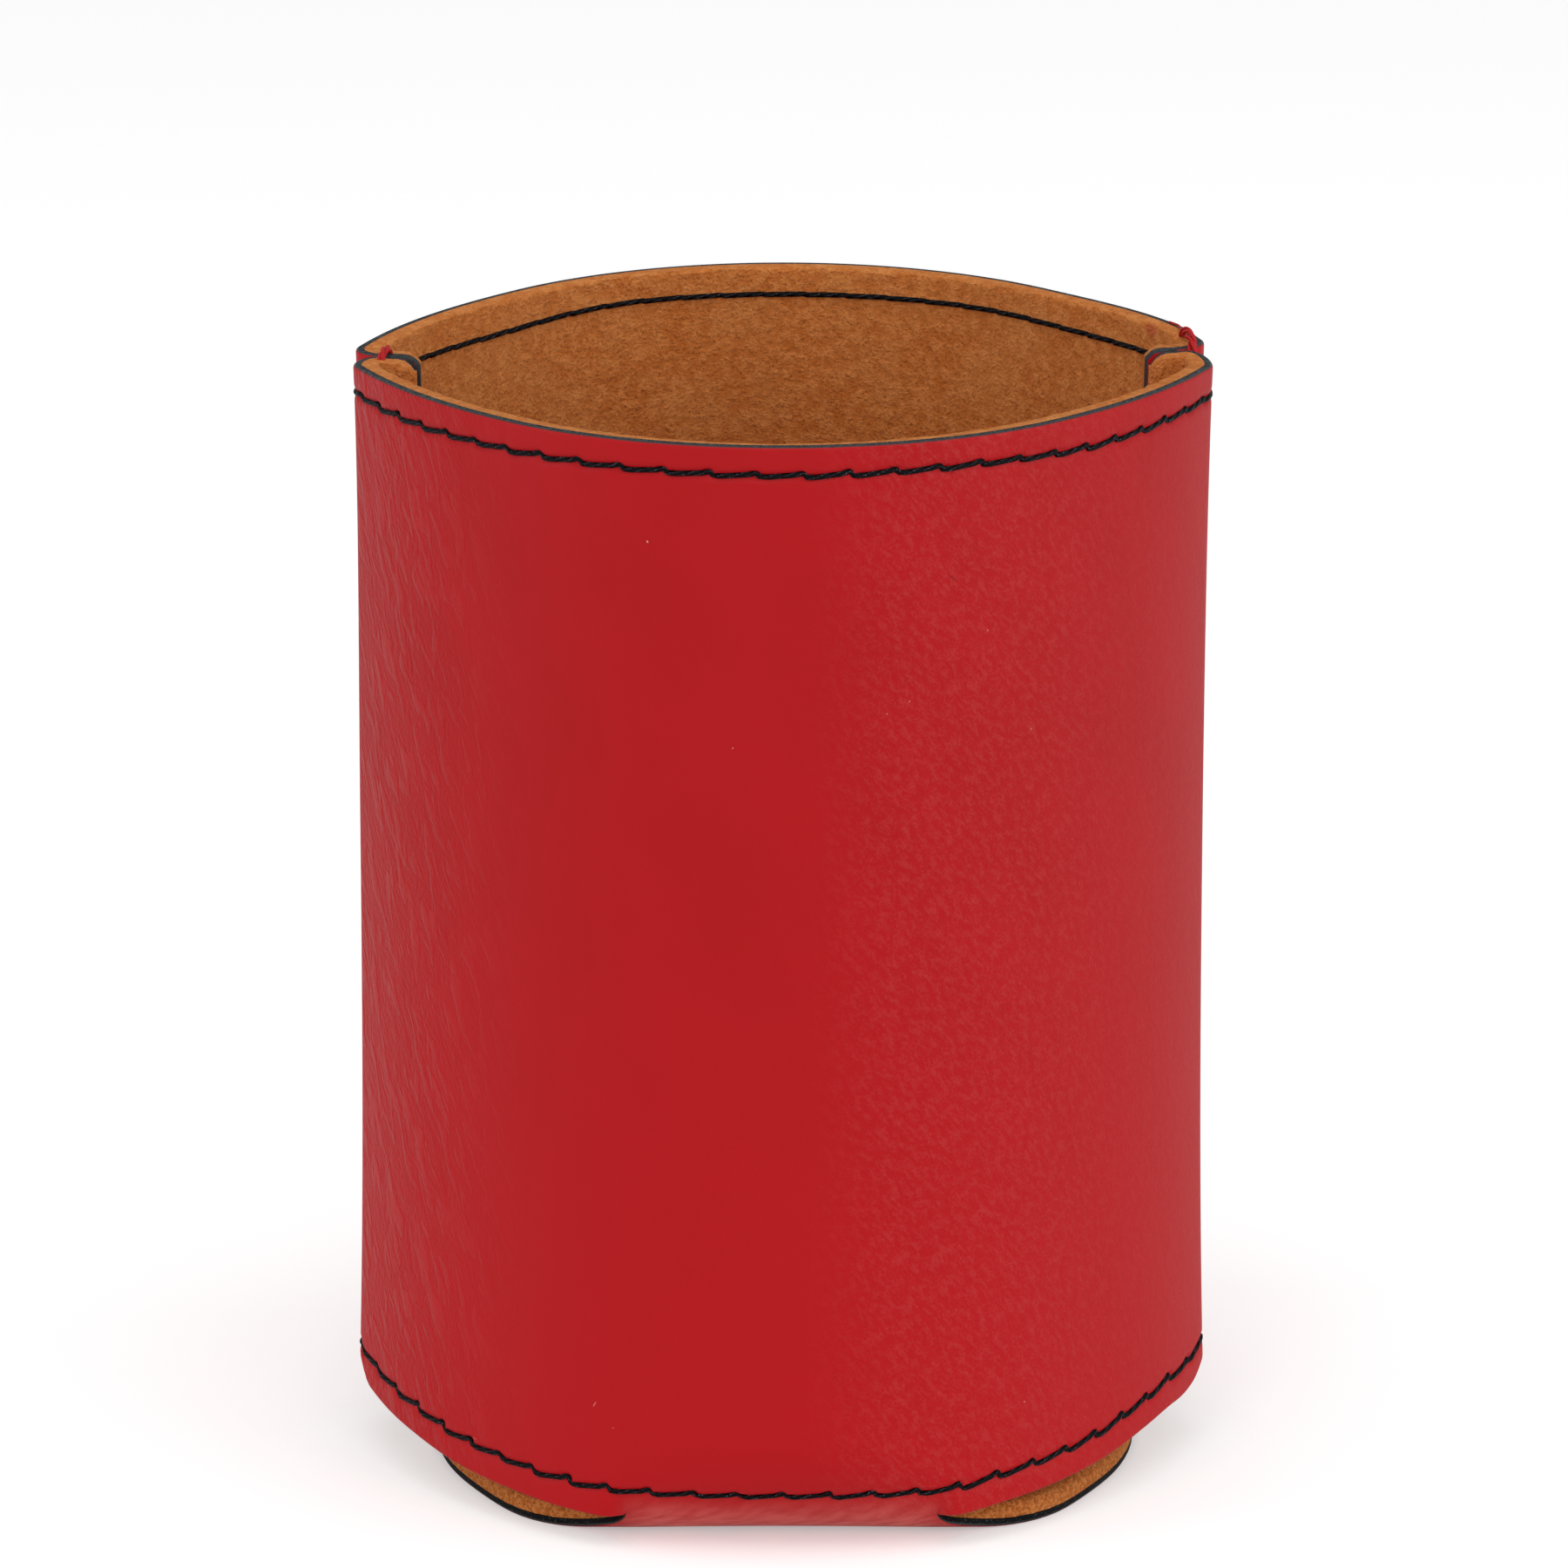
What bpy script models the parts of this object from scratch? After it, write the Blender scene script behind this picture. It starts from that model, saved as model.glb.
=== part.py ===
"""A leatherette beverage holder, standing on its round bottom with its mouth up.

One strip of leatherette over a suede lining runs down the front, under the bottom and up the back.
The two side edges are turned inward and sewn together, so a flap stands inside each side.
Black stitching follows the top and bottom edges, and a red thread closes each side seam.
Metres, +Z up, front towards -Y, origin on the table under the centre of the bottom.
"""
import math

import bmesh
import bpy
from mathutils import Vector

MM = 0.001

# Laminate
SKIN_THICKNESS = 0.8 * MM
LINING_THICKNESS = 1.3 * MM
GLUE_GAP = 0.2 * MM
LAMINATE = SKIN_THICKNESS + GLUE_GAP + LINING_THICKNESS

# Section through the panels
PANEL_RADIUS = 35.5 * MM
FLANK_RADIUS = 62.0 * MM
SIDE_FOLD_INSIDE = 0.2 * MM
SIDE_FOLD_RADIUS = LAMINATE + SIDE_FOLD_INSIDE
SIDE_FOLD_REACH = 3.55 * MM
WAIST_HALF_WIDTH = PANEL_RADIUS + SIDE_FOLD_REACH
SEAM_GAP = 0.4 * MM
FLAP_LENGTH = 3.3 * MM

# Heights of the panels
HEIGHT = 105.2 * MM
WAIST_HEIGHT = 64.0 * MM
TOP_FLARE = 0.35 * MM
BOTTOM_FLARE = 0.9 * MM
TOP_SIDE_DROP = 0.7 * MM
FLAP_CORNER_DROP = 1.5 * MM
LOWER_EDGE_CLEARANCE = 0.7 * MM
LOWER_EDGE = LAMINATE + LOWER_EDGE_CLEARANCE
LOWER_EDGE_FLAT = 20.0 * MM
LOWER_EDGE_RISE = 3.6 * MM
SEAM_CORNER_RISE = 1.5 * MM

# Bottom and the two necks that join it to the panels
BOTTOM_RADIUS = PANEL_RADIUS - LAMINATE
NECK_HALF_WIDTH = 14.3 * MM
NECK_FOLD_RADIUS = 11.0 * MM
NOTCH_FOLD_RADIUS = 7.0 * MM
NOTCH_ANGLE = math.acos(1 - LOWER_EDGE / NOTCH_FOLD_RADIUS)
NOTCH_REACH = 4.7 * MM
NOTCH_SWEEP = 1.5
TABLE_FOLD_INSIDE = 0.7 * MM
TABLE_FOLD_RADIUS = LAMINATE + TABLE_FOLD_INSIDE
TABLE_EDGE_ANGLE = math.asin((NECK_HALF_WIDTH + NOTCH_REACH) / BOTTOM_RADIUS)

# Threads
STITCH_THREAD = 0.5 * MM
SEAM_THREAD = 0.5 * MM
THREAD_CLEARANCE = 0.15 * MM
STITCH_PITCH = 4.2 * MM
STITCH_SAG = 0.16 * MM
STITCH_HOOK = 0.22 * MM
STITCH_SHAPE = ((0.1, -STITCH_SAG), (0.5, -STITCH_SAG), (0.88, STITCH_HOOK))
TOP_STITCH_INSET = 2.6 * MM
BOTTOM_STITCH_INSET = 3.4 * MM
SEAM_INSET = 0.5 * MM
SEAM_END_INSET = 4.0 * MM
SEAM_BEND = 0.8

# Mesh resolution
NECK_COLUMNS = 4
ARC_COLUMNS = 4
FLANK_COLUMNS = 3
FOLD_COLUMNS = 5
FLAP_COLUMNS = 2
FOLD_TOP_ROWS = (0.0, 0.5, 1.0)
PANEL_ROWS = (0.06, 0.16, 0.33, 0.55, 0.78, 0.92, 1.0)
FOLD_ROWS = 5
BOTTOM_ROWS = 6
THREAD_SIDES = 6
SHARP_ANGLE = math.radians(35.0)


def clear_scene():
    for item in list(bpy.data.objects):
        bpy.data.objects.remove(item, do_unlink=True)


def principled(name, colour, roughness):
    material = bpy.data.materials.new(name)
    material.use_nodes = True
    shader = material.node_tree.nodes["Principled BSDF"]
    shader.inputs["Base Color"].default_value = (*colour, 1.0)
    shader.inputs["Roughness"].default_value = roughness
    shader.inputs["Metallic"].default_value = 0.0
    material.diffuse_color = (*colour, 1.0)
    return material


def half_width(height):
    """The panels are narrowest at the waist and widen towards both ends."""
    if height < WAIST_HEIGHT:
        return WAIST_HALF_WIDTH + BOTTOM_FLARE * ((WAIST_HEIGHT - height) / WAIST_HEIGHT) ** 3
    return WAIST_HALF_WIDTH + TOP_FLARE * ((height - WAIST_HEIGHT) / (HEIGHT - WAIST_HEIGHT)) ** 4


class Section:
    """The outer face of the front panel cut level: front arc, flank, side fold and flap.

    Distances run along the face from the front centre, positive towards +X.
    Angles are those of the face's outward normal, from -90 degrees at the front centre.
    """

    def __init__(self, height):
        fold_x = half_width(height) - SIDE_FOLD_RADIUS
        fold_y = -SEAM_GAP / 2 - SIDE_FOLD_RADIUS
        self.fold_centre = Vector((fold_x, fold_y))
        offset = FLANK_RADIUS - PANEL_RADIUS
        reach = (FLANK_RADIUS - SIDE_FOLD_RADIUS) ** 2 - offset ** 2 - self.fold_centre.length_squared
        turn = math.acos(reach / (2 * offset * self.fold_centre.length))
        self.arc_end = math.atan2(fold_y, fold_x) - turn
        self.flank_centre = Vector((math.cos(self.arc_end), math.sin(self.arc_end))) * -offset
        towards_fold = self.fold_centre - self.flank_centre
        self.flank_end = math.atan2(towards_fold.y, towards_fold.x)
        self.arc_length = PANEL_RADIUS * (self.arc_end + math.pi / 2)
        self.flank_length = FLANK_RADIUS * (self.flank_end - self.arc_end)
        self.fold_length = SIDE_FOLD_RADIUS * (math.pi / 2 - self.flank_end)
        self.fold_start = self.arc_length + self.flank_length
        self.flap_start = self.fold_start + self.fold_length

    def at(self, distance):
        """The point on the outer face at a distance, with the outward normal there."""
        side = -1 if distance < 0 else 1
        run = abs(distance)
        if run < self.arc_length:
            angle = run / PANEL_RADIUS - math.pi / 2
            centre, radius = Vector((0, 0)), PANEL_RADIUS
        elif run < self.fold_start:
            angle = self.arc_end + (run - self.arc_length) / FLANK_RADIUS
            centre, radius = self.flank_centre, FLANK_RADIUS
        elif run < self.flap_start:
            angle = self.flank_end + (run - self.fold_start) / SIDE_FOLD_RADIUS
            centre, radius = self.fold_centre, SIDE_FOLD_RADIUS
        else:
            angle = math.pi / 2
            centre = self.fold_centre - Vector((run - self.flap_start, 0))
            radius = SIDE_FOLD_RADIUS
        normal = Vector((math.cos(angle), math.sin(angle)))
        point = centre + normal * radius
        return Vector((side * point.x, point.y)), Vector((side * normal.x, normal.y))

    def column_distance(self, column):
        """Columns are counted from the front centre, and each stretch has its own number of them."""
        neck = PANEL_RADIUS * math.asin(NECK_HALF_WIDTH / PANEL_RADIUS)
        stretches = (
            (NECK_COLUMNS, 0.0, neck),
            (ARC_COLUMNS, neck, self.arc_length),
            (FLANK_COLUMNS, self.arc_length, self.fold_start),
            (FOLD_COLUMNS, self.fold_start, self.flap_start),
            (FLAP_COLUMNS, self.flap_start, self.flap_start + FLAP_LENGTH),
        )
        left = abs(column)
        for count, start, end in stretches:
            if left <= count:
                run = start + (end - start) * left / count
                return math.copysign(run, column)
            left -= count
        raise ValueError("column outside the section")


SIDE_COLUMNS = NECK_COLUMNS + ARC_COLUMNS + FLANK_COLUMNS + FOLD_COLUMNS + FLAP_COLUMNS


def share_from(value, start, end):
    """How far a value has gone from start to end, between 0 and 1."""
    return min(max((value - start) / (end - start), 0.0), 1.0)


def lower_edge(distance):
    """The panel's lower edge is level in front, sweeps up to the side fold and turns up in it."""
    section = Section(LOWER_EDGE)
    sweep = share_from(abs(distance), LOWER_EDGE_FLAT, section.flap_start)
    corner = share_from(abs(distance), section.fold_start, section.flap_start)
    rise = LOWER_EDGE_RISE * (3 - 2 * sweep) * sweep ** 2
    return LOWER_EDGE + rise + SEAM_CORNER_RISE * corner ** 2


def top_edge(distance):
    """The top edge sinks a little towards the seam, and the flap's corner is rounded off."""
    seam = Section(HEIGHT).flap_start
    side = TOP_SIDE_DROP * share_from(abs(distance), 0.0, seam) ** 2
    corner = FLAP_CORNER_DROP * share_from(abs(distance), seam, seam + FLAP_LENGTH) ** 2
    return HEIGHT - side - corner


def neck_x(distance):
    return PANEL_RADIUS * math.sin(distance / PANEL_RADIUS)


def neck_fold_radius(x):
    """The fold under the neck is round in the middle and tightens towards the notches."""
    return NECK_FOLD_RADIUS - (NECK_FOLD_RADIUS - NOTCH_FOLD_RADIUS) * (x / NECK_HALF_WIDTH) ** 2


def fold_line(x, radius):
    """How far forward the bottom lies flat, below the panel's face at x."""
    return radius - math.sqrt(PANEL_RADIUS ** 2 - x ** 2)


def fold_normal(x, angle):
    outward = Vector((x / PANEL_RADIUS, -math.sqrt(1 - (x / PANEL_RADIUS) ** 2), 0))
    return (outward * math.sin(angle) + Vector((0, 0, -math.cos(angle)))).normalized()


def neck_point(x, angle):
    """A point on the fold under the neck; the angle is 0 on the table and 90 degrees on the panel."""
    radius = neck_fold_radius(x)
    rise = radius * (1 - math.cos(angle))
    point = Vector((x, fold_line(x, radius) - radius * math.sin(angle), rise))
    return point, fold_normal(x, angle)


def notch_edge_point(side, angle):
    """The bottom's free edge beside the neck, from the notch's tip down to the table."""
    share = angle / NOTCH_ANGLE
    table_y = -BOTTOM_RADIUS * math.cos(TABLE_EDGE_ANGLE)
    x = NECK_HALF_WIDTH + NOTCH_REACH * (1 - share) ** NOTCH_SWEEP
    radius = TABLE_FOLD_RADIUS + (NOTCH_FOLD_RADIUS - TABLE_FOLD_RADIUS) * share
    tip_y = fold_line(NECK_HALF_WIDTH, NOTCH_FOLD_RADIUS)
    flat_y = table_y + (tip_y - table_y) * share
    point = Vector((side * x, flat_y - radius * math.sin(angle), radius * (1 - math.cos(angle))))
    return point, fold_normal(side * x, angle)


def face_point(distance, height):
    """A point on the front panel's outer face, or on the neck's fold where it has begun to turn."""
    level, outward = Section(height).at(distance)
    if abs(level.x) < NECK_HALF_WIDTH and height < neck_fold_radius(level.x):
        angle = math.acos(1 - height / neck_fold_radius(level.x))
        return neck_point(level.x, angle)
    return Vector((*level, height)), Vector((*outward, 0.0))


def turned(vector, side):
    """The back panel is the front one turned half round; side is 1 in front and -1 behind."""
    return Vector((side * vector.x, side * vector.y, vector.z))


class Sheet:
    """The laminate's outer face: points with their outward normals, and the faces between them."""

    def __init__(self):
        self.points = []
        self.normals = []
        self.faces = []

    def add(self, point, normal):
        self.points.append(point)
        self.normals.append(normal)
        return len(self.points) - 1

    def join(self, one, other):
        """Faces between two rows of equal length; a corner shared by both rows gives a triangle."""
        for left in range(len(one) - 1):
            corners = (one[left], one[left + 1], other[left + 1], other[left])
            self.faces.append(tuple(dict.fromkeys(corners)))

    def layer(self, name, outer_depth, inner_depth, material):
        """A closed solid between two depths under the outer face."""
        mesh = bpy.data.meshes.new(name)
        work = bmesh.new()
        shells = []
        for depth in (outer_depth, inner_depth):
            spots = [point - normal * depth for point, normal in zip(self.points, self.normals)]
            shells.append([work.verts.new(spot) for spot in spots])
        outer, inner = shells
        for face in self.faces:
            work.faces.new([outer[corner] for corner in face])
            work.faces.new([inner[corner] for corner in reversed(face)])
        counterpart = dict(zip(outer, inner))
        rims = [edge for edge in work.edges if edge.is_boundary and edge.verts[0] in counterpart]
        for edge in rims:
            first, second = edge.verts
            work.faces.new((first, second, counterpart[second], counterpart[first]))
        bmesh.ops.recalc_face_normals(work, faces=work.faces)
        bmesh.ops.triangulate(work, faces=work.faces)
        work.to_mesh(mesh)
        work.free()
        mesh.shade_smooth()
        mesh.set_sharp_from_angle(angle=SHARP_ANGLE)
        mesh.materials.append(material)
        piece = bpy.data.objects.new(name, mesh)
        bpy.context.collection.objects.link(piece)
        return piece


def panel_rows(sheet, side):
    """One panel from its lower edge to its top; returns the lowest row's neck points."""
    columns = range(-SIDE_COLUMNS, SIDE_COLUMNS + 1)
    distances = [Section(LOWER_EDGE).column_distance(column) for column in columns]

    def fold_top(column, distance, share):
        """The rows beside the neck's fold climb as far as its edge does."""
        if abs(column) <= NECK_COLUMNS:
            angle = NOTCH_ANGLE + (math.pi / 2 - NOTCH_ANGLE) * share
            return neck_point(neck_x(distance), angle)
        return face_point(distance, lower_edge(distance) + (NOTCH_FOLD_RADIUS - LOWER_EDGE) * share)

    def wall(column, distance, share):
        start = fold_top(column, distance, 1.0)[0].z
        height = start + (top_edge(distance) - start) * share
        return face_point(Section(height).column_distance(column), height)

    rows = []
    for make_point, shares in ((fold_top, FOLD_TOP_ROWS), (wall, PANEL_ROWS)):
        for share in shares:
            row = []
            for column, distance in zip(columns, distances):
                point, normal = make_point(column, distance, share)
                row.append(sheet.add(turned(point, side), turned(normal, side)))
            rows.append(row)
    for one, other in zip(rows, rows[1:]):
        sheet.join(one, other)
    return rows[0][SIDE_COLUMNS - NECK_COLUMNS:SIDE_COLUMNS + NECK_COLUMNS + 1]


def bottom_row(sheet, make_point):
    """One row across the bottom: its free edge, the neck's columns and the other free edge."""
    neck_columns = range(-NECK_COLUMNS, NECK_COLUMNS + 1)
    row = [make_point("edge", -1)]
    for column in neck_columns:
        row.append(make_point("neck", neck_x(Section(LOWER_EDGE).column_distance(column))))
    row.append(make_point("edge", 1))
    return [sheet.add(point, normal) for point, normal in row]


def bottom_rows(sheet, front_tips, back_tips):
    """The bottom from the front neck to the back one; it lies flat between the two folds."""
    def on_fold(side, angle):
        def make_point(kind, place):
            if kind == "edge":
                point, normal = notch_edge_point(place, angle)
            else:
                point, normal = neck_point(place, angle)
            return turned(point, side), turned(normal, side)
        return make_point

    def on_table(angle):
        def make_point(kind, place):
            if kind == "edge":
                point = Vector((place * math.sin(angle), -math.cos(angle), 0)) * BOTTOM_RADIUS
            else:
                share = math.cos(angle) / math.cos(TABLE_EDGE_ANGLE)
                point = Vector((place, fold_line(place, neck_fold_radius(place)) * share, 0))
            return point, Vector((0, 0, -1))
        return make_point

    fold_angles = [NOTCH_ANGLE * (1 - step / FOLD_ROWS) for step in range(1, FOLD_ROWS)]
    steps = range(2 * BOTTOM_ROWS + 1)
    table_span = math.pi - 2 * TABLE_EDGE_ANGLE
    table_angles = [TABLE_EDGE_ANGLE + table_span * step / (2 * BOTTOM_ROWS) for step in steps]
    rows = [bottom_row(sheet, on_fold(1, angle)) for angle in fold_angles]
    rows += [bottom_row(sheet, on_table(angle)) for angle in table_angles]
    back_rows = [bottom_row(sheet, on_fold(-1, angle)) for angle in reversed(fold_angles)]
    rows += [row[::-1] for row in back_rows]
    rows.insert(0, [front_tips[0], *front_tips, front_tips[-1]])
    rows.append([back_tips[-1], *back_tips[::-1], back_tips[0]])
    for one, other in zip(rows, rows[1:]):
        sheet.join(one, other)


def folded_sheet():
    sheet = Sheet()
    front_tips = panel_rows(sheet, 1)
    back_tips = panel_rows(sheet, -1)
    bottom_rows(sheet, front_tips, back_tips)
    return sheet


def thread(name, path, diameter, material):
    """A round thread along a path, with its ends closed."""
    curve = bpy.data.curves.new(name, "CURVE")
    curve.dimensions = "3D"
    curve.bevel_depth = diameter / 2
    curve.bevel_resolution = THREAD_SIDES // 2 - 2
    curve.use_fill_caps = True
    spline = curve.splines.new("POLY")
    spline.points.add(len(path) - 1)
    for point, place in zip(spline.points, path):
        point.co = (*place, 1.0)
    curve.materials.append(material)
    piece = bpy.data.objects.new(name, curve)
    bpy.context.collection.objects.link(piece)
    return piece


def stitch_path(height_at, side):
    """A stitch row from fold to fold: each stitch hangs a little and its right end hooks upward."""
    section = Section(height_at(0.0))
    half_length = section.fold_start + section.fold_length / 2
    count = round(2 * half_length / STITCH_PITCH)
    pitch = 2 * half_length / count
    lift = THREAD_CLEARANCE + STITCH_THREAD / 2
    path = []
    for stitch in range(count):
        for share, shift in STITCH_SHAPE:
            distance = (stitch + share) * pitch - half_length
            height = height_at(distance) + shift
            point, normal = face_point(distance, height)
            path.append(turned(point + normal * lift, side))
    return path


def top_stitch_height(distance):
    return HEIGHT - TOP_STITCH_INSET


def bottom_stitch_height(distance):
    return lower_edge(distance) + BOTTOM_STITCH_INSET


def seam_path(side):
    """The seam's thread stands against both flaps' lining and crosses over their top edges."""
    seam = Section(HEIGHT).flap_start
    lift = THREAD_CLEARANCE + SEAM_THREAD / 2
    beside = SEAM_GAP / 2 + LAMINATE + lift
    over = top_edge(seam) + lift
    foot = lower_edge(seam) + SEAM_END_INSET

    def spot(half, height):
        """half runs from -1 on the front flap to 1 on the back one."""
        x = half_width(height) - SIDE_FOLD_RADIUS - SEAM_INSET
        return Vector((side * x, half * beside, height))

    climb = [spot(-1, height) for height in (foot, WAIST_HEIGHT, over - SEAM_THREAD)]
    crossing = [spot(half, over) for half in (-SEAM_BEND, SEAM_BEND)]
    descent = [spot(1, point.z) for point in reversed(climb)]
    return climb + crossing + descent


def build():
    clear_scene()
    leatherette = principled("leatherette", (0.45, 0.016, 0.022), 0.45)
    suede = principled("suede_lining", (0.55, 0.25, 0.08), 0.9)
    black_thread = principled("black_thread", (0.01, 0.01, 0.012), 0.7)
    red_thread = principled("red_thread", (0.6, 0.02, 0.02), 0.7)

    sheet = folded_sheet()
    sheet.layer("leatherette_skin", 0.0, SKIN_THICKNESS, leatherette)
    sheet.layer("lining", SKIN_THICKNESS + GLUE_GAP, LAMINATE, suede)

    for name, side in (("front", 1), ("back", -1)):
        for edge, height_at in (("top", top_stitch_height), ("bottom", bottom_stitch_height)):
            path = stitch_path(height_at, side)
            thread(f"{edge}_stitch_{name}", path, STITCH_THREAD, black_thread)
    for name, side in (("left", -1), ("right", 1)):
        thread(f"seam_thread_{name}", seam_path(side), SEAM_THREAD, red_thread)


build()
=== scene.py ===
"""A leatherette beverage holder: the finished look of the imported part, on a pale table."""
import math

import bpy
import numpy as np
from mathutils import Euler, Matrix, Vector
from mathutils.kdtree import KDTree


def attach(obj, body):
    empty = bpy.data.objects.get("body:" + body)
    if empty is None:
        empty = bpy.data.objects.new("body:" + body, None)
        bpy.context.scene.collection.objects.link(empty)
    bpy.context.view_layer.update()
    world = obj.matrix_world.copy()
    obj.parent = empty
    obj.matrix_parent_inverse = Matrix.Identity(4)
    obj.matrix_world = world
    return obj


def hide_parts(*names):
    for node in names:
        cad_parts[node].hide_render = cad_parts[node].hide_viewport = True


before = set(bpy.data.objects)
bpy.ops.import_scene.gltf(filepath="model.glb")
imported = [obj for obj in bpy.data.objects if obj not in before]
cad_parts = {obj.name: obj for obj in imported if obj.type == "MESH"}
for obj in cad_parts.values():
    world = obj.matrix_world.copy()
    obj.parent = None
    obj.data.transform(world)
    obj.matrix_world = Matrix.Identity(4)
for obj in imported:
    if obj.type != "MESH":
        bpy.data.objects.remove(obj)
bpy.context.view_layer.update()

# Camera, table and lamps.
# A pale table runs out of the picture on every side, four soft boxes stand round the holder,
# and the camera looks down on the mouth from a little less than a metre away.
MM = 0.001
CAMERA_PLACE = (0.24 * MM, -950.0 * MM, 339.5 * MM)
CAMERA_TILT = math.radians(73.82)
CAMERA_LENS = 244.6
CAMERA_SENSOR = 36.0
TABLE_HALF = 3.0
TABLE_DROP = 0.02 * MM
TABLE_WHITE = 0.86
TABLE_LIFT = 0.36
ROOM_LIGHT = 0.5
LAMPS_AIM = Vector((0, 0, 50 * MM))


class Signal:
    """What one node hands to the next, with arithmetic for numbers that vary over a surface."""

    def __init__(self, recipe, socket):
        self.recipe = recipe
        self.socket = socket

    def maths(self, operation, *others):
        values = dict(enumerate((self, *others)))
        return self.recipe.add("ShaderNodeMath", {"operation": operation}, values)

    def __add__(self, other):
        return self.maths("ADD", other)

    def __sub__(self, other):
        return self.maths("SUBTRACT", other)

    def __rsub__(self, other):
        return self.recipe.add("ShaderNodeMath", {"operation": "SUBTRACT"}, {0: other, 1: self})

    def __mul__(self, other):
        return self.maths("MULTIPLY", other)

    def __truediv__(self, other):
        return self.maths("DIVIDE", other)

    def __abs__(self):
        return self.maths("ABSOLUTE")

    __radd__ = __add__
    __rmul__ = __mul__


class Recipe:
    """A node tree being written: add() puts in one node and gives back one of its outputs."""

    def __init__(self, tree):
        self.tree = tree
        tree.nodes.clear()

    def add(self, kind, settings=None, inputs=None, output=0):
        node = self.tree.nodes.new(kind)
        for name, value in (settings or {}).items():
            setattr(node, name, value)
        for name, value in (inputs or {}).items():
            if isinstance(value, Signal):
                self.tree.links.new(value.socket, node.inputs[name])
            else:
                node.inputs[name].default_value = value
        return Signal(self, node.outputs[output]) if node.outputs else None

    def ease(self, value, start, end):
        """0 before start and 1 after end, with a smooth climb between them."""
        settings = {"interpolation_type": "SMOOTHSTEP"}
        inputs = {"Value": value, "From Min": start, "From Max": end}
        return self.add("ShaderNodeMapRange", settings, inputs)

    def mixed(self, share, one, other):
        """One colour turning into another as the share goes from 0 to 1."""
        inputs = {0: share, 6: one, 7: other}
        return self.add("ShaderNodeMix", {"data_type": "RGBA", "clamp_factor": True}, inputs, 2)

    def layered(self, base, layers):
        """A colour with others over it; each layer is where it shows, how strongly, and its colour."""
        for where, strength, shade in layers:
            base = self.mixed(where * strength, base, shade)
        return base

    def noise(self, place, scale, detail=2.0, roughness=0.5, distortion=0.0):
        return self.add("ShaderNodeTexNoise", {}, {
            "Vector": place, "Scale": scale, "Detail": detail, "Roughness": roughness,
            "Distortion": distortion,
        })

    def attribute(self, name, output):
        return self.add("ShaderNodeAttribute", {"attribute_name": name}, {}, output)

    def part(self, vector, axis):
        return self.add("ShaderNodeSeparateXYZ", {}, {0: vector}, axis)

    def length(self, vector):
        return self.add("ShaderNodeVectorMath", {"operation": "LENGTH"}, {0: vector}, "Value")

    def surface(self, values):
        shader = self.add("ShaderNodeBsdfPrincipled", {}, values)
        self.add("ShaderNodeOutputMaterial", {}, {"Surface": shader})


def new_paint(name):
    """A material, and the recipe that its nodes are written in."""
    paint = bpy.data.materials.new(name)
    paint.use_nodes = True
    return paint, Recipe(paint.node_tree)


def added(name, data):
    piece = bpy.data.objects.new(name, data)
    bpy.context.scene.collection.objects.link(piece)
    return piece


lens = bpy.data.cameras.new("camera")
lens.lens = CAMERA_LENS
lens.sensor_width = CAMERA_SENSOR
camera = added("camera", lens)
camera.location = CAMERA_PLACE
camera.rotation_euler = Euler((CAMERA_TILT, 0, 0))
bpy.context.scene.camera = camera
bpy.context.scene.view_settings.view_transform = "Standard"

table_mesh = bpy.data.meshes.new("table")
corners = [(-1, -1), (1, -1), (1, 1), (-1, 1)]
corners = [(x * TABLE_HALF, y * TABLE_HALF, -TABLE_DROP) for x, y in corners]
table_mesh.from_pydata(corners, [], [(0, 1, 2, 3)])
table = added("table", table_mesh)
table_paint, nodes = new_paint("table_paint")
seen = nodes.add("ShaderNodeLightPath", output="Is Camera Ray")
matt = nodes.add("ShaderNodeBsdfDiffuse", inputs={"Color": (TABLE_WHITE, TABLE_WHITE, TABLE_WHITE, 1)})
lift = nodes.add("ShaderNodeEmission", inputs={"Strength": seen * TABLE_LIFT})
both = nodes.add("ShaderNodeAddShader", inputs={0: matt, 1: lift})
nodes.add("ShaderNodeOutputMaterial", inputs={"Surface": both})
table_mesh.materials.append(table_paint)

room = bpy.data.worlds.new("room")
room.use_nodes = True
bpy.context.scene.world = room
nodes = Recipe(room.node_tree)
seen = nodes.add("ShaderNodeLightPath", output="Is Camera Ray")
strength = ROOM_LIGHT + seen * (1 - ROOM_LIGHT)
glow = nodes.add("ShaderNodeBackground", inputs={"Color": (1, 1, 1, 1), "Strength": strength})
nodes.add("ShaderNodeOutputWorld", inputs={"Surface": glow})

# Each soft box's place and size are in metres.
for name, place, width, height, watts in (
    ("right_box", (0.95, -0.4, 0.3), 1.0, 0.9, 4.5),
    ("left_box", (-1.0, -0.3, 0.3), 0.4, 0.9, 2.4),
    ("front_box", (-0.2, -1.3, 0.55), 0.8, 0.5, 3.0),
    ("top_box", (0.0, -0.5, 1.4), 1.2, 1.2, 6.0),
):
    lamp = bpy.data.lights.new(name, "AREA")
    lamp.shape = "RECTANGLE"
    lamp.size = width
    lamp.size_y = height
    lamp.energy = watts
    box = added(name, lamp)
    box.location = place
    box.rotation_euler = (LAMPS_AIM - Vector(place)).to_track_quat("-Z", "Y").to_euler()

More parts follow.
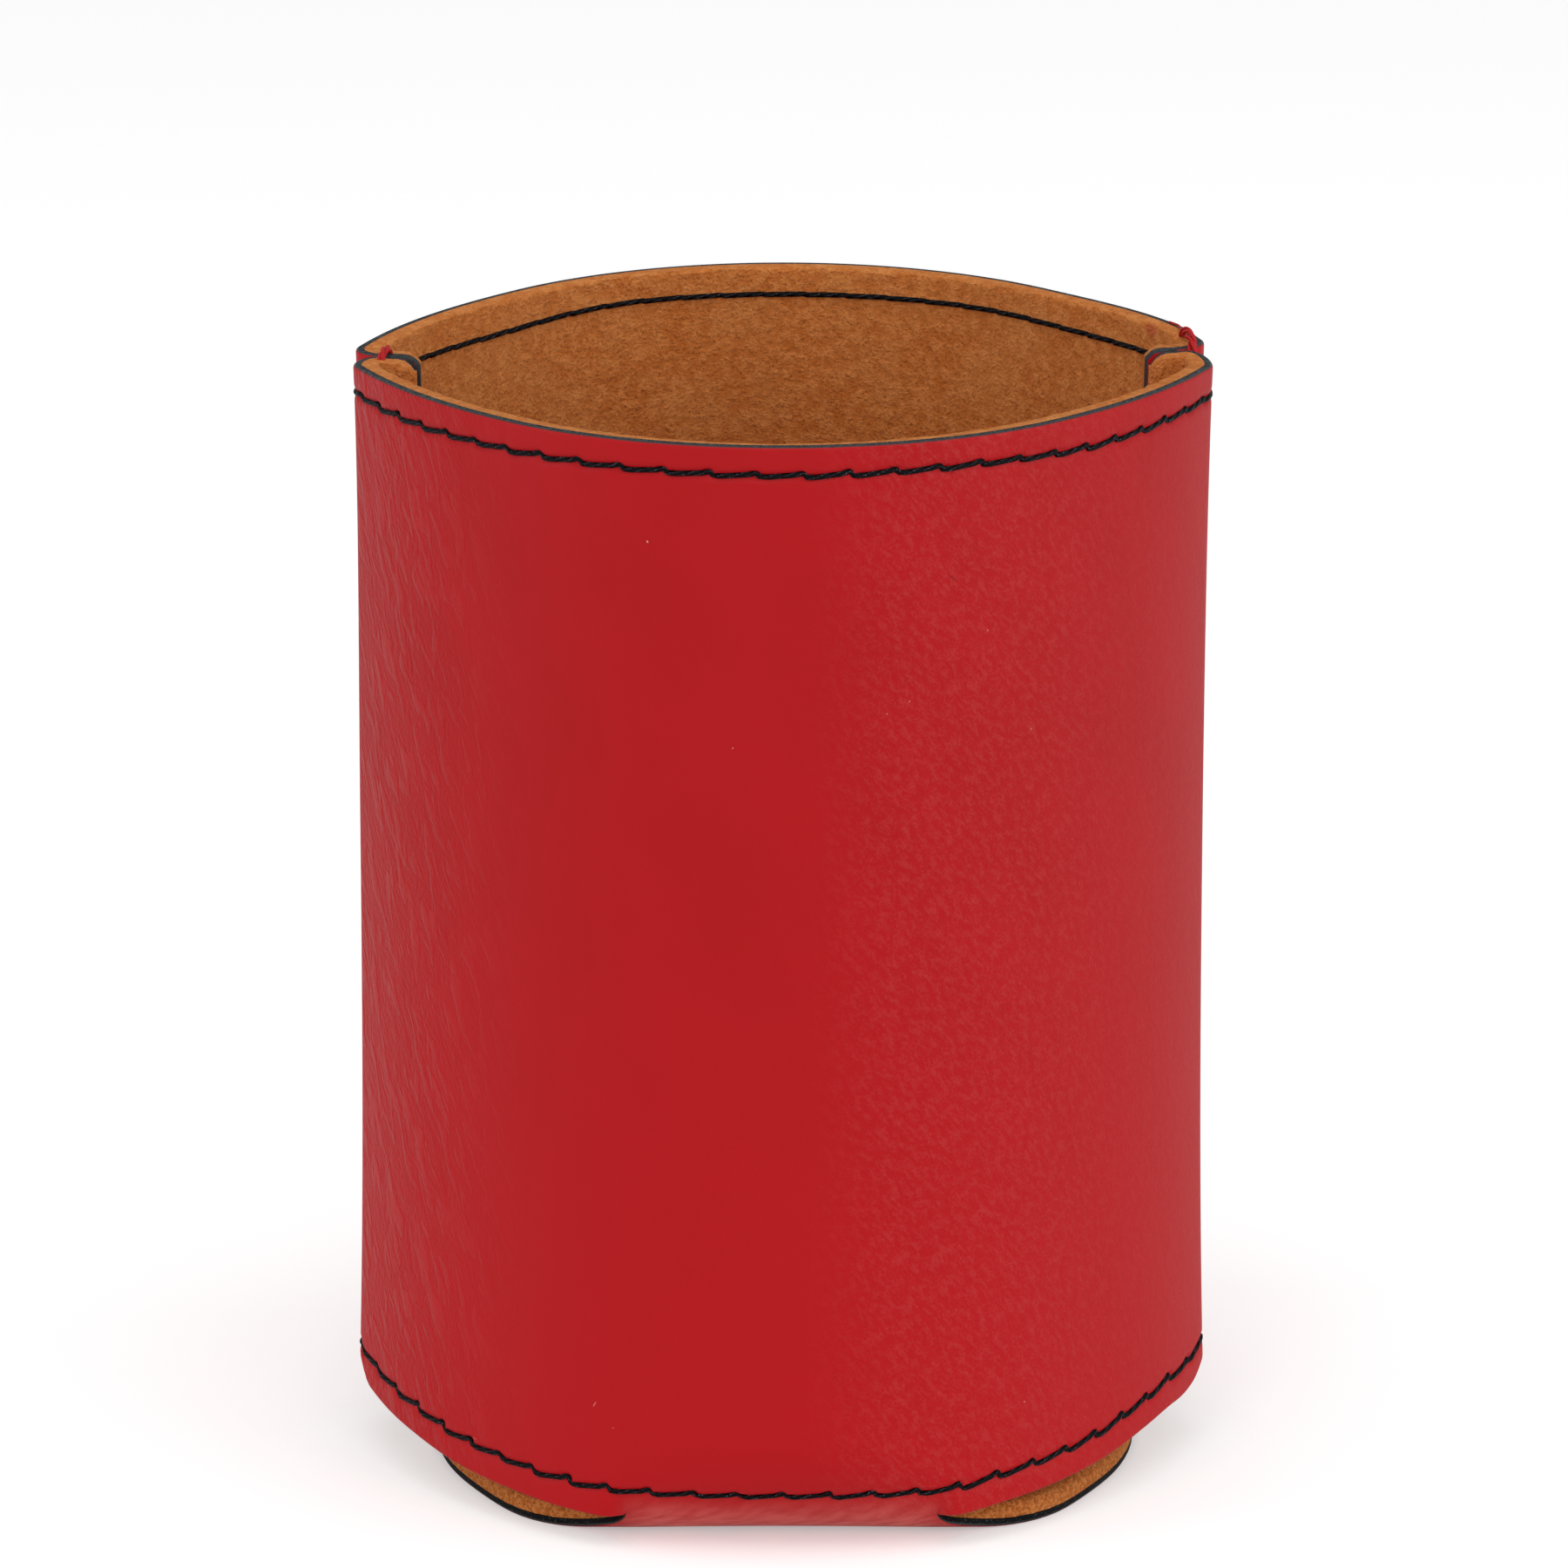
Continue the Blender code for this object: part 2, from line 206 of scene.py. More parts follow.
# Leatherette skin.
# One strip of coated leatherette, cut with a hot blade that leaves its edges black, runs down the
# front, under the bottom and up the back; its side edges are turned in, so a flap stands inside
# each side. The edge stitching lies in a shallow groove that its own pull has made.
SKIN_THICKNESS = 0.8 * MM
LAMINATE = 2.3 * MM
PANEL_RADIUS = 35.5 * MM
FLANK_RADIUS = 62.0 * MM
SIDE_FOLD_RADIUS = 2.5 * MM
WAIST_HALF_WIDTH = 39.05 * MM
SEAM_GAP = -0.04 * MM
FLAP_LENGTH = {1: 3.2 * MM, -1: 3.5 * MM}
FLAP_OPENING = {-1: 0.1 * MM, 1: 0.3 * MM}
FLAP_BEND = 1.5
HEIGHT = 105.2 * MM
WAIST_HEIGHT = 64.0 * MM
TOP_FLARE = 0.35 * MM
BOTTOM_FLARE = 0.9 * MM
TOP_SIDE_DROP = 0.7 * MM
FLAP_CORNER_DROP = 1.1 * MM
FRONT_FLAP_DROP = 0.1 * MM
BACK_CORNER_RISE = 0.1 * MM
BACK_CORNER_PINCH = 0.5 * MM
BACK_CORNER_FROM = 0.9
BACK_RISE_REACH = (16 * MM, 44 * MM)
FLAP_TURN_SHARE = 0.3
SEAM_PUSH = {-1: 1.2 * MM, 1: 3.5 * MM}
PUSH_SHARES = {1: (1.0, 1.085), -1: (0.5, 1.0)}
MOUTH_SHIFT = 0.16 * MM
SETTLED_FROM = 60.0 * MM
LOWER_EDGE = 3.0 * MM
LEVEL_REACH = 15 * MM
LOWER_CORNER_RISE = {-1: 2.2 * MM, 1: 1.0 * MM}
LOWER_CORNER_REACH = (52 * MM, 56 * MM)
LOWER_EDGE_PLACES = {
    -1: ((15, 3.0), (21, 3.13), (28, 3.47), (35, 3.92), (42, 4.82), (48, 5.66), (52.5, 6.55),
         (59, 8.0)),
    1: ((15, 3.0), (21.5, 3.56), (28, 3.95), (35, 4.6), (42, 5.68), (46, 6.22), (50, 6.5),
        (53, 7.2), (59, 8.8)),
}
BOTTOM_RADIUS = 32.9 * MM
BOTTOM_FULLNESS = 0.85 * MM
FULLEST_ANGLE = math.radians(47)
FULLNESS_SPREAD = math.radians(8)
BOTTOM_SHIFT = 0.3 * MM
BOTTOM_SHIFT_REACH = 12 * MM
BOTTOM_SHIFT_FROM = (8 * MM, 20 * MM)
BOTTOM_START = -6.3 * MM
BOTTOM_HALF_LENGTH = 24.5 * MM
BACK_PANEL_START = -61.6 * MM
NECK_HALF_WIDTH = 14.3 * MM
NECK_FOLD_RADIUS = 12.2 * MM
NOTCH_FOLD_RADIUS = 8.2 * MM
NOTCH_ANGLE = math.acos(1 - LOWER_EDGE / NOTCH_FOLD_RADIUS)
NOTCH_SWEEP = 1.5
NOTCH_RELAX = 3.0 * MM
TABLE_FOLD_RADIUS = 3.0 * MM
TABLE_EDGE_ANGLE = math.radians(40)
BACK_APART = 0.3
STITCH_PITCH = 4.2 * MM
STITCH_RISE = {"top": 0.42 * MM, "bottom": 0.6 * MM}
TOP_STITCH_INSET = 2.6 * MM
TOP_STITCH_SAG = {-1: (0.5 * MM, 18 * MM, 45 * MM), 1: (0.75 * MM, 14 * MM, 36 * MM)}
BOTTOM_STITCH_INSET = 2.85 * MM
STITCH_CLIMB = ((0.6, 0.0, 0.85), (0.4, 0.7, 0.91), (-1.0, 0.92, 1.0))
STITCH_START = {"top": -2.07 * MM, "bottom": 0.5 * MM}
STITCH_SWING = (0.75, 1.2)
SWING_COUNT = 200
FIRST_SWING = 60
GROOVE_DEPTH = 0.2 * MM
GROOVE_WIDTH = 0.42 * MM
HOLE_DEPTH = 0.25 * MM
HOLE_WIDTH = 0.4 * MM
CUT_ROUND = 0.3 * MM
CUT_FALL = 0.9
RIM_SOFTNESS = 3.0 * MM
SHARP_FROM = math.radians(40)


def ease(value, start, end):
    share = np.clip((value - start) / (end - start), 0.0, 1.0)
    return share * share * (3 - 2 * share)


def through(places, at):
    """A smooth line through measured places, which are written in millimetres."""
    where, value = np.array(places).T * MM
    slope = np.gradient(value, where)
    left = np.clip(np.searchsorted(where, at) - 1, 0, len(where) - 2)
    right = left + 1
    span = where[right] - where[left]
    share = np.clip((at - where[left]) / span, 0, 1)
    bend = slope[left] * (1 - share) - slope[right] * share
    line = value[left] + (value[right] - value[left]) * share ** 2 * (3 - 2 * share)
    return line + span * share * (1 - share) * bend


def half_width(height):
    """The panels are narrowest at the waist and widen towards both ends."""
    below = np.clip((WAIST_HEIGHT - height) / WAIST_HEIGHT, 0, None)
    above = np.clip((height - WAIST_HEIGHT) / (HEIGHT - WAIST_HEIGHT), 0, None)
    return WAIST_HALF_WIDTH + BOTTOM_FLARE * below ** 3 + TOP_FLARE * above ** 4


class Section:
    """The outer face of the front panel cut level, at one height or many.

    Distances run along the face from the front centre, positive towards +X: first an arc,
    then a flatter flank, the side fold and the flap.
    """

    def __init__(self, height, side=1):
        self.fold_x = half_width(height) - SIDE_FOLD_RADIUS
        self.fold_y = -SEAM_GAP / 2 - SIDE_FOLD_RADIUS
        offset = FLANK_RADIUS - PANEL_RADIUS
        reach = np.hypot(self.fold_x, self.fold_y)
        short = (FLANK_RADIUS - SIDE_FOLD_RADIUS) ** 2 - offset ** 2 - reach ** 2
        turn = np.arccos(short / (2 * offset * reach))
        self.arc_end = np.arctan2(self.fold_y, self.fold_x) - turn
        self.flank_x = -offset * np.cos(self.arc_end)
        self.flank_y = -offset * np.sin(self.arc_end)
        self.flank_end = np.arctan2(self.fold_y - self.flank_y, self.fold_x - self.flank_x)
        self.arc_length = PANEL_RADIUS * (self.arc_end + math.pi / 2)
        self.fold_start = self.arc_length + FLANK_RADIUS * (self.flank_end - self.arc_end)
        self.flap_start = self.fold_start + SIDE_FOLD_RADIUS * (math.pi / 2 - self.flank_end)
        self.flap_end = self.flap_start + FLAP_LENGTH[side]

    def at(self, distance):
        """The point on the face at a distance, and the outward normal there, both level."""
        run = np.abs(distance)
        side = np.where(distance < 0, -1.0, 1.0)
        stretch = [run < self.arc_length, run < self.fold_start, run < self.flap_start]
        angle = np.select(stretch, [
            run / PANEL_RADIUS - math.pi / 2,
            self.arc_end + (run - self.arc_length) / FLANK_RADIUS,
            self.flank_end + (run - self.fold_start) / SIDE_FOLD_RADIUS,
        ], math.pi / 2)
        radius = np.select(stretch, [PANEL_RADIUS, FLANK_RADIUS, SIDE_FOLD_RADIUS], SIDE_FOLD_RADIUS)
        past = np.clip(run - self.flap_start, 0, None)
        still = 0 * run
        centres_x = [still, self.flank_x + still, self.fold_x + still]
        centres_y = [still, self.flank_y + still, self.fold_y + still]
        centre_x = np.select(stretch, centres_x, self.fold_x - past)
        centre_y = np.select(stretch, centres_y, self.fold_y + still)
        normal = np.stack([side * np.cos(angle), np.sin(angle)], -1)
        point = np.stack([side * centre_x, centre_y], -1) + normal * np.asarray(radius)[..., None]
        return point, normal


def column_marks(section):
    """Where each stretch of columns begins and ends, out from the front centre."""
    neck = PANEL_RADIUS * math.asin(NECK_HALF_WIDTH / PANEL_RADIUS) + 0 * section.arc_length
    return [0 * neck, neck, section.arc_length, section.fold_start, section.flap_start, section.flap_end]


def lower_sweep(distance):
    """The line that the lower stitching keeps to: level in front, sweeping up to the side fold."""
    run = np.clip(np.abs(distance), LEVEL_REACH, None)
    left, right = through(LOWER_EDGE_PLACES[-1], run), through(LOWER_EDGE_PLACES[1], run)
    return np.where(distance < 0, left, right)


def lower_edge(distance):
    """The lower edge follows the sweep, and its corner is rounded off at the side fold."""
    rise = np.where(distance < 0, LOWER_CORNER_RISE[-1], LOWER_CORNER_RISE[1])
    return lower_sweep(distance) + rise * ease(np.abs(distance), *LOWER_CORNER_REACH)


def top_edge(distance, side):
    """The top edge sinks a little towards the seam, and the flap's inner corner is rounded off."""
    section = Section(HEIGHT, side)
    run = np.abs(distance)
    past = np.clip((run - section.flap_start) / FLAP_LENGTH[side], 0, 1)
    drop = TOP_SIDE_DROP * np.clip(run / section.flap_start, 0, 1) ** 2 + FLAP_CORNER_DROP * past ** 6
    flap = ease(past, 0.0, FLAP_TURN_SHARE)
    if side > 0:
        return HEIGHT - drop - FRONT_FLAP_DROP * flap
    return HEIGHT - drop + BACK_CORNER_RISE * ease(-distance, *BACK_RISE_REACH) * (1 - flap)


def neck_fold_radius(x):
    """The fold under the neck is round in the middle and tightens towards the notches."""
    share = np.clip(np.abs(x) / NECK_HALF_WIDTH, 0, 1)
    return NECK_FOLD_RADIUS - (NECK_FOLD_RADIUS - NOTCH_FOLD_RADIUS) * share ** 2


def fold_line(x, radius):
    """How far forward the bottom lies flat, below the panel's face at x."""
    return radius - np.sqrt(PANEL_RADIUS ** 2 - x ** 2)


def neck_point(x, angle):
    """A point on the fold under the neck; the angle is 0 on the table and 90 degrees on the panel."""
    radius = neck_fold_radius(x)
    point = np.stack([x, fold_line(x, radius) - radius * np.sin(angle), radius * (1 - np.cos(angle))], -1)
    level = np.stack([x / PANEL_RADIUS, -np.sqrt(1 - (x / PANEL_RADIUS) ** 2), 0 * x], -1)
    normal = level * np.sin(angle)[..., None] + np.array((0, 0, -1.0)) * np.cos(angle)[..., None]
    return point, normal


def bottom_radius(angle):
    """The bottom is round, and a little fuller beside its four notches."""
    off = min(angle, math.pi - angle) - FULLEST_ANGLE
    return BOTTOM_RADIUS + BOTTOM_FULLNESS * math.exp(-(off / FULLNESS_SPREAD) ** 2)


def notch_edge_point(side, angle):
    """The bottom's free edge beside the neck, from the notch's tip down to the table."""
    share = angle / NOTCH_ANGLE
    table_y = -bottom_radius(TABLE_EDGE_ANGLE) * math.cos(TABLE_EDGE_ANGLE)
    reach = bottom_radius(TABLE_EDGE_ANGLE) * math.sin(TABLE_EDGE_ANGLE) - NECK_HALF_WIDTH
    x = NECK_HALF_WIDTH + reach * (1 - share) ** NOTCH_SWEEP
    radius = TABLE_FOLD_RADIUS + (NOTCH_FOLD_RADIUS - TABLE_FOLD_RADIUS) * share
    tip_y = fold_line(NECK_HALF_WIDTH, NOTCH_FOLD_RADIUS)
    flat_y = table_y + (tip_y - table_y) * share
    spot = (side * x, flat_y - radius * math.sin(angle), radius * (1 - math.cos(angle)))
    level = (side * x / PANEL_RADIUS, -math.sqrt(1 - (x / PANEL_RADIUS) ** 2), 0)
    normal = [part * math.sin(angle) for part in level[:2]] + [-math.cos(angle)]
    return spot, normal


def settled(point, distance, height, side):
    """Where handling has moved a panel's face, before the panel is turned to its side.

    The flaps stand open in a V. Near the mouth both seams sit further back than the middle,
    the right one most, and the back panel's right corner stands a little inside the front's.
    """
    section = Section(height, side)
    run = np.abs(distance)
    share = run / section.fold_start
    high = ease(height, SETTLED_FROM, HEIGHT)
    past = np.clip((run - section.flap_start) / FLAP_LENGTH[side], 0, 1)
    push = np.where(distance * side < 0, SEAM_PUSH[-1], SEAM_PUSH[1]) * high
    push = push * ease(share, *PUSH_SHARES[side])
    opening = np.where(distance * side < 0, FLAP_OPENING[-1], FLAP_OPENING[1])
    point[..., 1] += side * push - opening * past ** FLAP_BEND
    point[..., 0] += side * MOUTH_SHIFT * high
    if side < 0:
        pinch = ease(share, BACK_CORNER_FROM, 1.0) * (1 - ease(past, 0.0, 1.0))
        point[..., 0] += BACK_CORNER_PINCH * np.where(distance < 0, pinch, 0.0) * high
    return point


def face_point(distance, height, side):
    """A point on a panel's outer face; below the neck the panel turns under with the fold."""
    level, outward = Section(height, side).at(distance)
    x = np.abs(level[..., 0])
    radius = neck_fold_radius(x)
    held = 1 - ease(x, NECK_HALF_WIDTH, NECK_HALF_WIDTH + NOTCH_RELAX)
    held = np.where(np.abs(distance) < NECK_HALF_WIDTH + 3 * NOTCH_RELAX, held, 0.0)
    angle = np.arccos(np.clip(1 - height / radius, 0.0, 1.0))
    angle = math.pi / 2 - (math.pi / 2 - angle) * held
    inward = radius * (1 - np.sin(angle)) * held
    on_neck = x < NECK_HALF_WIDTH
    shift = np.where(on_neck[..., None], np.array((0.0, 1.0)), -outward) * inward[..., None]
    point = np.concatenate([level + shift, height[..., None]], -1)
    normal = np.concatenate([outward * np.sin(angle)[..., None], -np.cos(angle)[..., None]], -1)
    return turned(settled(point, distance, height, side), side), turned(normal, side)


def turned(vectors, side):
    """The back panel is the front one turned half round; side is 1 in front and -1 behind."""
    return vectors * np.array((side, side, 1.0))


def smoothed(path, reach):
    """A path with its corners rounded over a reach and its two ends held."""
    run = np.concatenate([[0], np.cumsum(np.linalg.norm(np.diff(path, axis=0), axis=1))])
    weight = np.exp(-((run[:, None] - run) / reach) ** 2) * np.gradient(run)
    soft = weight @ path / weight.sum(1)[:, None]
    held = ease(np.minimum(run, run[-1] - run), 0, 1.5 * reach)
    return path + (soft - path) * held[:, None]


swings = np.random.default_rng(11).uniform(*STITCH_SWING, SWING_COUNT)


def stitch_swing(distance, row):
    """Each stitch of a row climbs by its own share of the usual rise."""
    stitch = np.floor((distance - STITCH_START[row]) / STITCH_PITCH).astype(int)
    return swings[(stitch + FIRST_SWING) % SWING_COUNT]


def stitch_climb(distance, row):
    """A stitch leaves its hole low, climbs to a hook at its right end and drops to the next hole."""
    phase = ((distance - STITCH_START[row]) / STITCH_PITCH) % 1.0
    climb = sum(share * ease(phase, start, end) for share, start, end in STITCH_CLIMB)
    return STITCH_RISE[row] * (climb - 0.5) * stitch_swing(distance, row)


def stitch_height(distance, row):
    """The rows run beside the edges; the top one sags where the panel turns to the seam."""
    if row == "bottom":
        return lower_sweep(distance) + BOTTOM_STITCH_INSET
    sags = [sag * ease(side * distance, start, end) for side, (sag, start, end) in TOP_STITCH_SAG.items()]
    return HEIGHT - TOP_STITCH_INSET - sum(sags)


def stitch_groove(distance, height):
    """How deep the pull of the stitching presses the face in, deepest at the holes."""
    depth = 0 * height
    for row in ("top", "bottom"):
        off = height - stitch_height(distance, row) - stitch_climb(distance, row)
        phase = ((distance - STITCH_START[row]) / STITCH_PITCH + 0.5) % 1.0 - 0.5
        hole = np.exp(-((phase * STITCH_PITCH) ** 2 + off ** 2) / HOLE_WIDTH ** 2)
        depth = depth + GROOVE_DEPTH * np.exp(-(off / GROOVE_WIDTH) ** 2) + HOLE_DEPTH * hole
    return np.where(np.abs(distance) < Section(LOWER_EDGE).flap_start, depth, 0.0)


class Sheet:
    """A strip's outer face: points, outward normals, flat-cut places, and the faces between."""

    def __init__(self):
        self.points = []
        self.normals = []
        self.cuts = []
        self.grooves = []
        self.faces = []
        self.count = 0

    def add_row(self, points, normals, cuts, grooves):
        self.points.append(points)
        self.normals.append(normals)
        self.cuts.append(cuts)
        self.grooves.append(grooves)
        self.count += len(points)
        return list(range(self.count - len(points), self.count))

    def join(self, one, other):
        """Faces between two rows of equal length; a corner shared by both rows gives a triangle."""
        for left in range(len(one) - 1):
            corners = (one[left], one[left + 1], other[left + 1], other[left])
            face = tuple(dict.fromkeys(corners))
            if len(face) > 2:
                self.faces.append(face)

    def finish(self):
        """Packs the rows and measures each point's distance from the nearest cut edge."""
        self.points = np.concatenate(self.points)
        self.normals = np.concatenate(self.normals)
        self.normals /= np.linalg.norm(self.normals, axis=1)[:, None]
        self.cuts = np.concatenate(self.cuts)
        self.grooves = np.concatenate(self.grooves)
        directed = {(face[i - 1], face[i]) for face in self.faces for i in range(len(face))}
        self.rims = [edge for edge in directed if edge[::-1] not in directed]
        rim_points = sorted({corner for edge in self.rims for corner in edge})
        tree = KDTree(len(rim_points))
        for corner in rim_points:
            tree.insert(self.points[corner], corner)
        tree.balance()
        self.edge = np.array([tree.find(point)[2] for point in self.points])

    def closed(self, name, outer_depth, inner_depth, materials):
        """A closed shell between two depths under the face, each given for every point."""
        outer = self.points - self.normals * outer_depth[:, None]
        inner = self.points - self.normals * inner_depth[:, None]
        faces = []
        first = self.faces[0]
        middle = outer[list(first)]
        across = np.cross(middle[1] - middle[0], middle[2] - middle[0])
        outward = across @ self.normals[first[0]] > 0
        for face in self.faces:
            faces.append(face if outward else face[::-1])
            lower = tuple(corner + self.count for corner in face)
            faces.append(lower[::-1] if outward else lower)
        for start, end in self.rims:
            rim = (end, start, start + self.count, end + self.count)
            faces.append(rim if outward else rim[::-1])
        mesh = bpy.data.meshes.new(name)
        mesh.from_pydata(np.concatenate([outer, inner]), [], faces)
        for material in materials:
            mesh.materials.append(material)
        kinds = np.zeros(len(faces), np.int32)
        kinds[2 * len(self.faces):] = len(materials) - 1
        mesh.polygons.foreach_set("material_index", kinds)
        both = np.concatenate([self.cuts, self.cuts]).astype(np.float32)
        mesh.attributes.new("cut", "FLOAT_VECTOR", "POINT").data.foreach_set("vector", both.ravel())
        both = np.concatenate([self.edge, self.edge]).astype(np.float32)
        mesh.attributes.new("edge", "FLOAT", "POINT").data.foreach_set("value", both)
        mesh.shade_smooth()
        mesh.set_sharp_from_angle(angle=SHARP_FROM)
        return added(name, mesh)


def strip(columns, bottom_steps, middle_count, top_steps, bottom_rows, rim_steps):
    """The whole strip as a sheet; columns holds the shares of each stretch of columns."""
    sheet = Sheet()
    shares = [(stretch, share) for stretch, part in enumerate(columns) for share in part]
    shares = [(0, 0.0)] + shares
    neck_count = len(columns[0])

    def distances(section):
        marks = column_marks(section)
        half = [marks[i] + (marks[i + 1] - marks[i]) * share for i, share in shares]
        return np.stack([-one for one in half[:0:-1]] + half)

    reference = distances(Section(LOWER_EDGE))
    centre = len(shares) - 1
    middle = np.linspace(0, 1, middle_count + 2)[1:-1]

    def panel(side):
        low = lower_edge(reference)
        high = top_edge(reference, side)
        open_height = high - top_steps[-1] - low - bottom_steps[-1]
        rows = [low + step for step in bottom_steps]
        rows += [low + bottom_steps[-1] + open_height * share for share in middle]
        rows += [high - step for step in top_steps[::-1]]
        made = []
        for height in rows:
            marks = column_marks(Section(height, side))
            run = np.empty(len(height))
            for place, (stretch, share) in enumerate(shares):
                for column, sign in ((centre + place, 1), (centre - place, -1)):
                    one = marks[stretch][column]
                    run[column] = sign * (one + (marks[stretch + 1][column] - one) * share)
            point, normal = face_point(run, height, side)
            along = height if side > 0 else BACK_PANEL_START - height
            cut = np.stack([run, along, 0 * run + (side < 0) * BACK_APART], -1)
            made.append(sheet.add_row(point, normal, cut, stitch_groove(run, height)))
        for one, other in zip(made, made[1:]):
            sheet.join(one, other)
        return made[0]

    neck = slice(centre - neck_count, centre + neck_count + 1)
    neck_x = PANEL_RADIUS * np.sin(reference[neck] / PANEL_RADIUS)

    def bottom_row(spots, normals, edges):
        """Adds a row across the bottom: from one free edge over the neck's columns to the other."""
        sides = []
        for end, (rim, rim_normal) in zip((0, -1), edges):
            share = np.array(rim_steps)[:, None]
            between = rim_normal + (normals[end] - rim_normal) * share
            sides.append((rim + (spots[end] - rim) * share, between))
        point = np.concatenate([sides[0][0], spots, sides[1][0][::-1]])
        normal = np.concatenate([sides[0][1], normals, sides[1][1][::-1]])
        x, y, height = point.T
        shift = ease(BOTTOM_RADIUS - np.abs(y), 0, BOTTOM_SHIFT_REACH)
        shift = shift * ease(np.abs(x), *BOTTOM_SHIFT_FROM)
        along = BOTTOM_START - (y + BOTTOM_HALF_LENGTH) + height * np.where(y < 0, 1, -1)
        point[:, 0] += BOTTOM_SHIFT * shift
        cut = np.stack([point[:, 0], along, 0 * along], -1)
        return sheet.add_row(point, normal, cut, 0 * along)

    def on_fold(side, share):
        start = np.arccos(1 - LOWER_EDGE / neck_fold_radius(neck_x))
        point, normal = neck_point(neck_x, start * share)
        edges = [np.array(notch_edge_point(end, NOTCH_ANGLE * share)) for end in (-1, 1)]
        if side < 0:
            point, normal = turned(point, -1)[::-1], turned(normal, -1)[::-1]
            edges = [turned(edge, -1) for edge in edges[::-1]]
        return point, normal, edges

    def on_table(angle):
        share = math.cos(angle) / math.cos(TABLE_EDGE_ANGLE)
        y = fold_line(neck_x, neck_fold_radius(neck_x)) * share
        point = np.stack([neck_x, y, 0 * y], -1)
        normal = np.array((0, 0, -1.0)) + 0 * point
        edges = []
        for end in (-1, 1):
            radius = bottom_radius(angle)
            rim = (end * radius * math.sin(angle), -radius * math.cos(angle), 0)
            edges.append(np.array((rim, (0, 0, -1.0))))
        return point, normal, edges

    front = panel(1)[neck]
    back = panel(-1)[neck][::-1]
    fold_count, table_count = bottom_rows
    fold_shares = np.linspace(1, 0, fold_count + 1)[1:-1]
    angles = np.linspace(TABLE_EDGE_ANGLE, math.pi - TABLE_EDGE_ANGLE, table_count)
    rows = [on_fold(1, share) for share in fold_shares]
    rows += [on_table(angle) for angle in angles]
    rows += [on_fold(-1, share) for share in fold_shares[::-1]]
    for end in (0, 1):
        rim = smoothed(np.array([edges[end][0] for _, _, edges in rows]), RIM_SOFTNESS)
        for (_, _, edges), spot in zip(rows, rim):
            edges[end][0] = spot
    made = [[front[0]] * len(rim_steps) + front + [front[-1]] * len(rim_steps)]
    made += [bottom_row(*row) for row in rows]
    made += [[back[0]] * len(rim_steps) + back + [back[-1]] * len(rim_steps)]
    for one, other in zip(made, made[1:]):
        sheet.join(other, one)
    sheet.finish()
    return sheet


def even(count):
    return np.arange(1, count + 1) / count


def colour(red, green, blue):
    """A colour given as it is seen on the screen, 0 to 255, as the shaders take it."""
    shares = [level / 255 for level in (red, green, blue)]
    linear = [s / 12.92 if s <= 0.04045 else ((s + 0.055) / 1.055) ** 2.4 for s in shares]
    return (*linear, 1.0)


NEAR_CUT = np.array((0, 0.06, 0.14, 0.25, 0.42, 0.7, 1.0, 1.3)) * MM
FROM_FLAP_END = np.array((2.8, 2.3, 1.8, 1.3, 0.9, 0.6, 0.42, 0.25, 0.14, 0.06, 0)) * MM
PAST_TOP_STITCHES = np.array((4.1, 4.6, 5.3, 6.2, 7.5)) * MM
BELOW_LOWER_STITCHES = np.array((1.6, 2.0)) * MM
PAST_LOWER_STITCHES = np.array((4.9, 5.4, 6.2, 7.3, 8.7)) * MM
AT_LOWER_STITCHES = np.arange(2.3, 4.6, 0.2) * MM
AT_TOP_STITCHES = np.arange(1.5, 3.8, 0.2) * MM
NEAR_NOTCH = (0, 0.006, 0.014, 0.026, 0.045, 0.08)

# Columns over the neck, the rest of the arc, the flank, the side fold and the flap.
skin_sheet = strip(
    (even(20), even(16), even(38), even(14), 1 - FROM_FLAP_END / FLAP_LENGTH[1]),
    bottom_steps=np.concatenate([NEAR_CUT, BELOW_LOWER_STITCHES, AT_LOWER_STITCHES, PAST_LOWER_STITCHES]),
    middle_count=44,
    top_steps=np.concatenate([NEAR_CUT, AT_TOP_STITCHES, PAST_TOP_STITCHES]),
    bottom_rows=(14, 44),
    rim_steps=np.concatenate([NEAR_NOTCH, np.arange(0.16, 0.95, 0.14)]),
)

RED = colour(171, 17, 22)
WARM_RED = colour(175, 18, 24)
PAINTED_BOUNCE_RED = colour(183, 19, 25)
PAINTED_SHEEN_RIGHT = colour(204, 104, 100)
PAINTED_SHEEN_LEFT = colour(222, 100, 96)
PAINTED_BOUNCE_PINK = colour(226, 108, 102)
PAINTED_BOUNCE_PALEST = colour(244, 138, 128)
BURNT = colour(16, 18, 20)
BURNT_PALE = colour(74, 78, 80)
PALE_SPECK = colour(222, 170, 160)
DARK_SPECK = colour(70, 14, 18)
LEFT_GRAIN = (-46 * MM, -22 * MM)
RIGHT_GRAIN = (1 * MM, 11 * MM)
RIGHT_GRAIN_END = (22 * MM, 42 * MM)
BACK_GRAIN = 0.25
PAINTED_BOUNCE_REACH = (36 * MM, 115 * MM)
BOUNCE_FOLD_START = (20 * MM, 24 * MM)
BOUNCE_FOLD_END = (33 * MM, 37 * MM)
BOUNCE_PALEST_END = (27 * MM, 34 * MM)
BOUNCE_FOLD_SIDES = (11 * MM, 17 * MM)
LOWER_EDGE_START = (32.6 * MM, 33.4 * MM)
LOWER_EDGE_END = (44 * MM, 46 * MM)
FLAP_FACE = (58.8 * MM, 59.4 * MM)
BURNT_REACH = (0.04 * MM, 0.17 * MM)
BURNT_RAGGED = 0.12 * MM
BURNT_ON_FLAP = 0.16 * MM
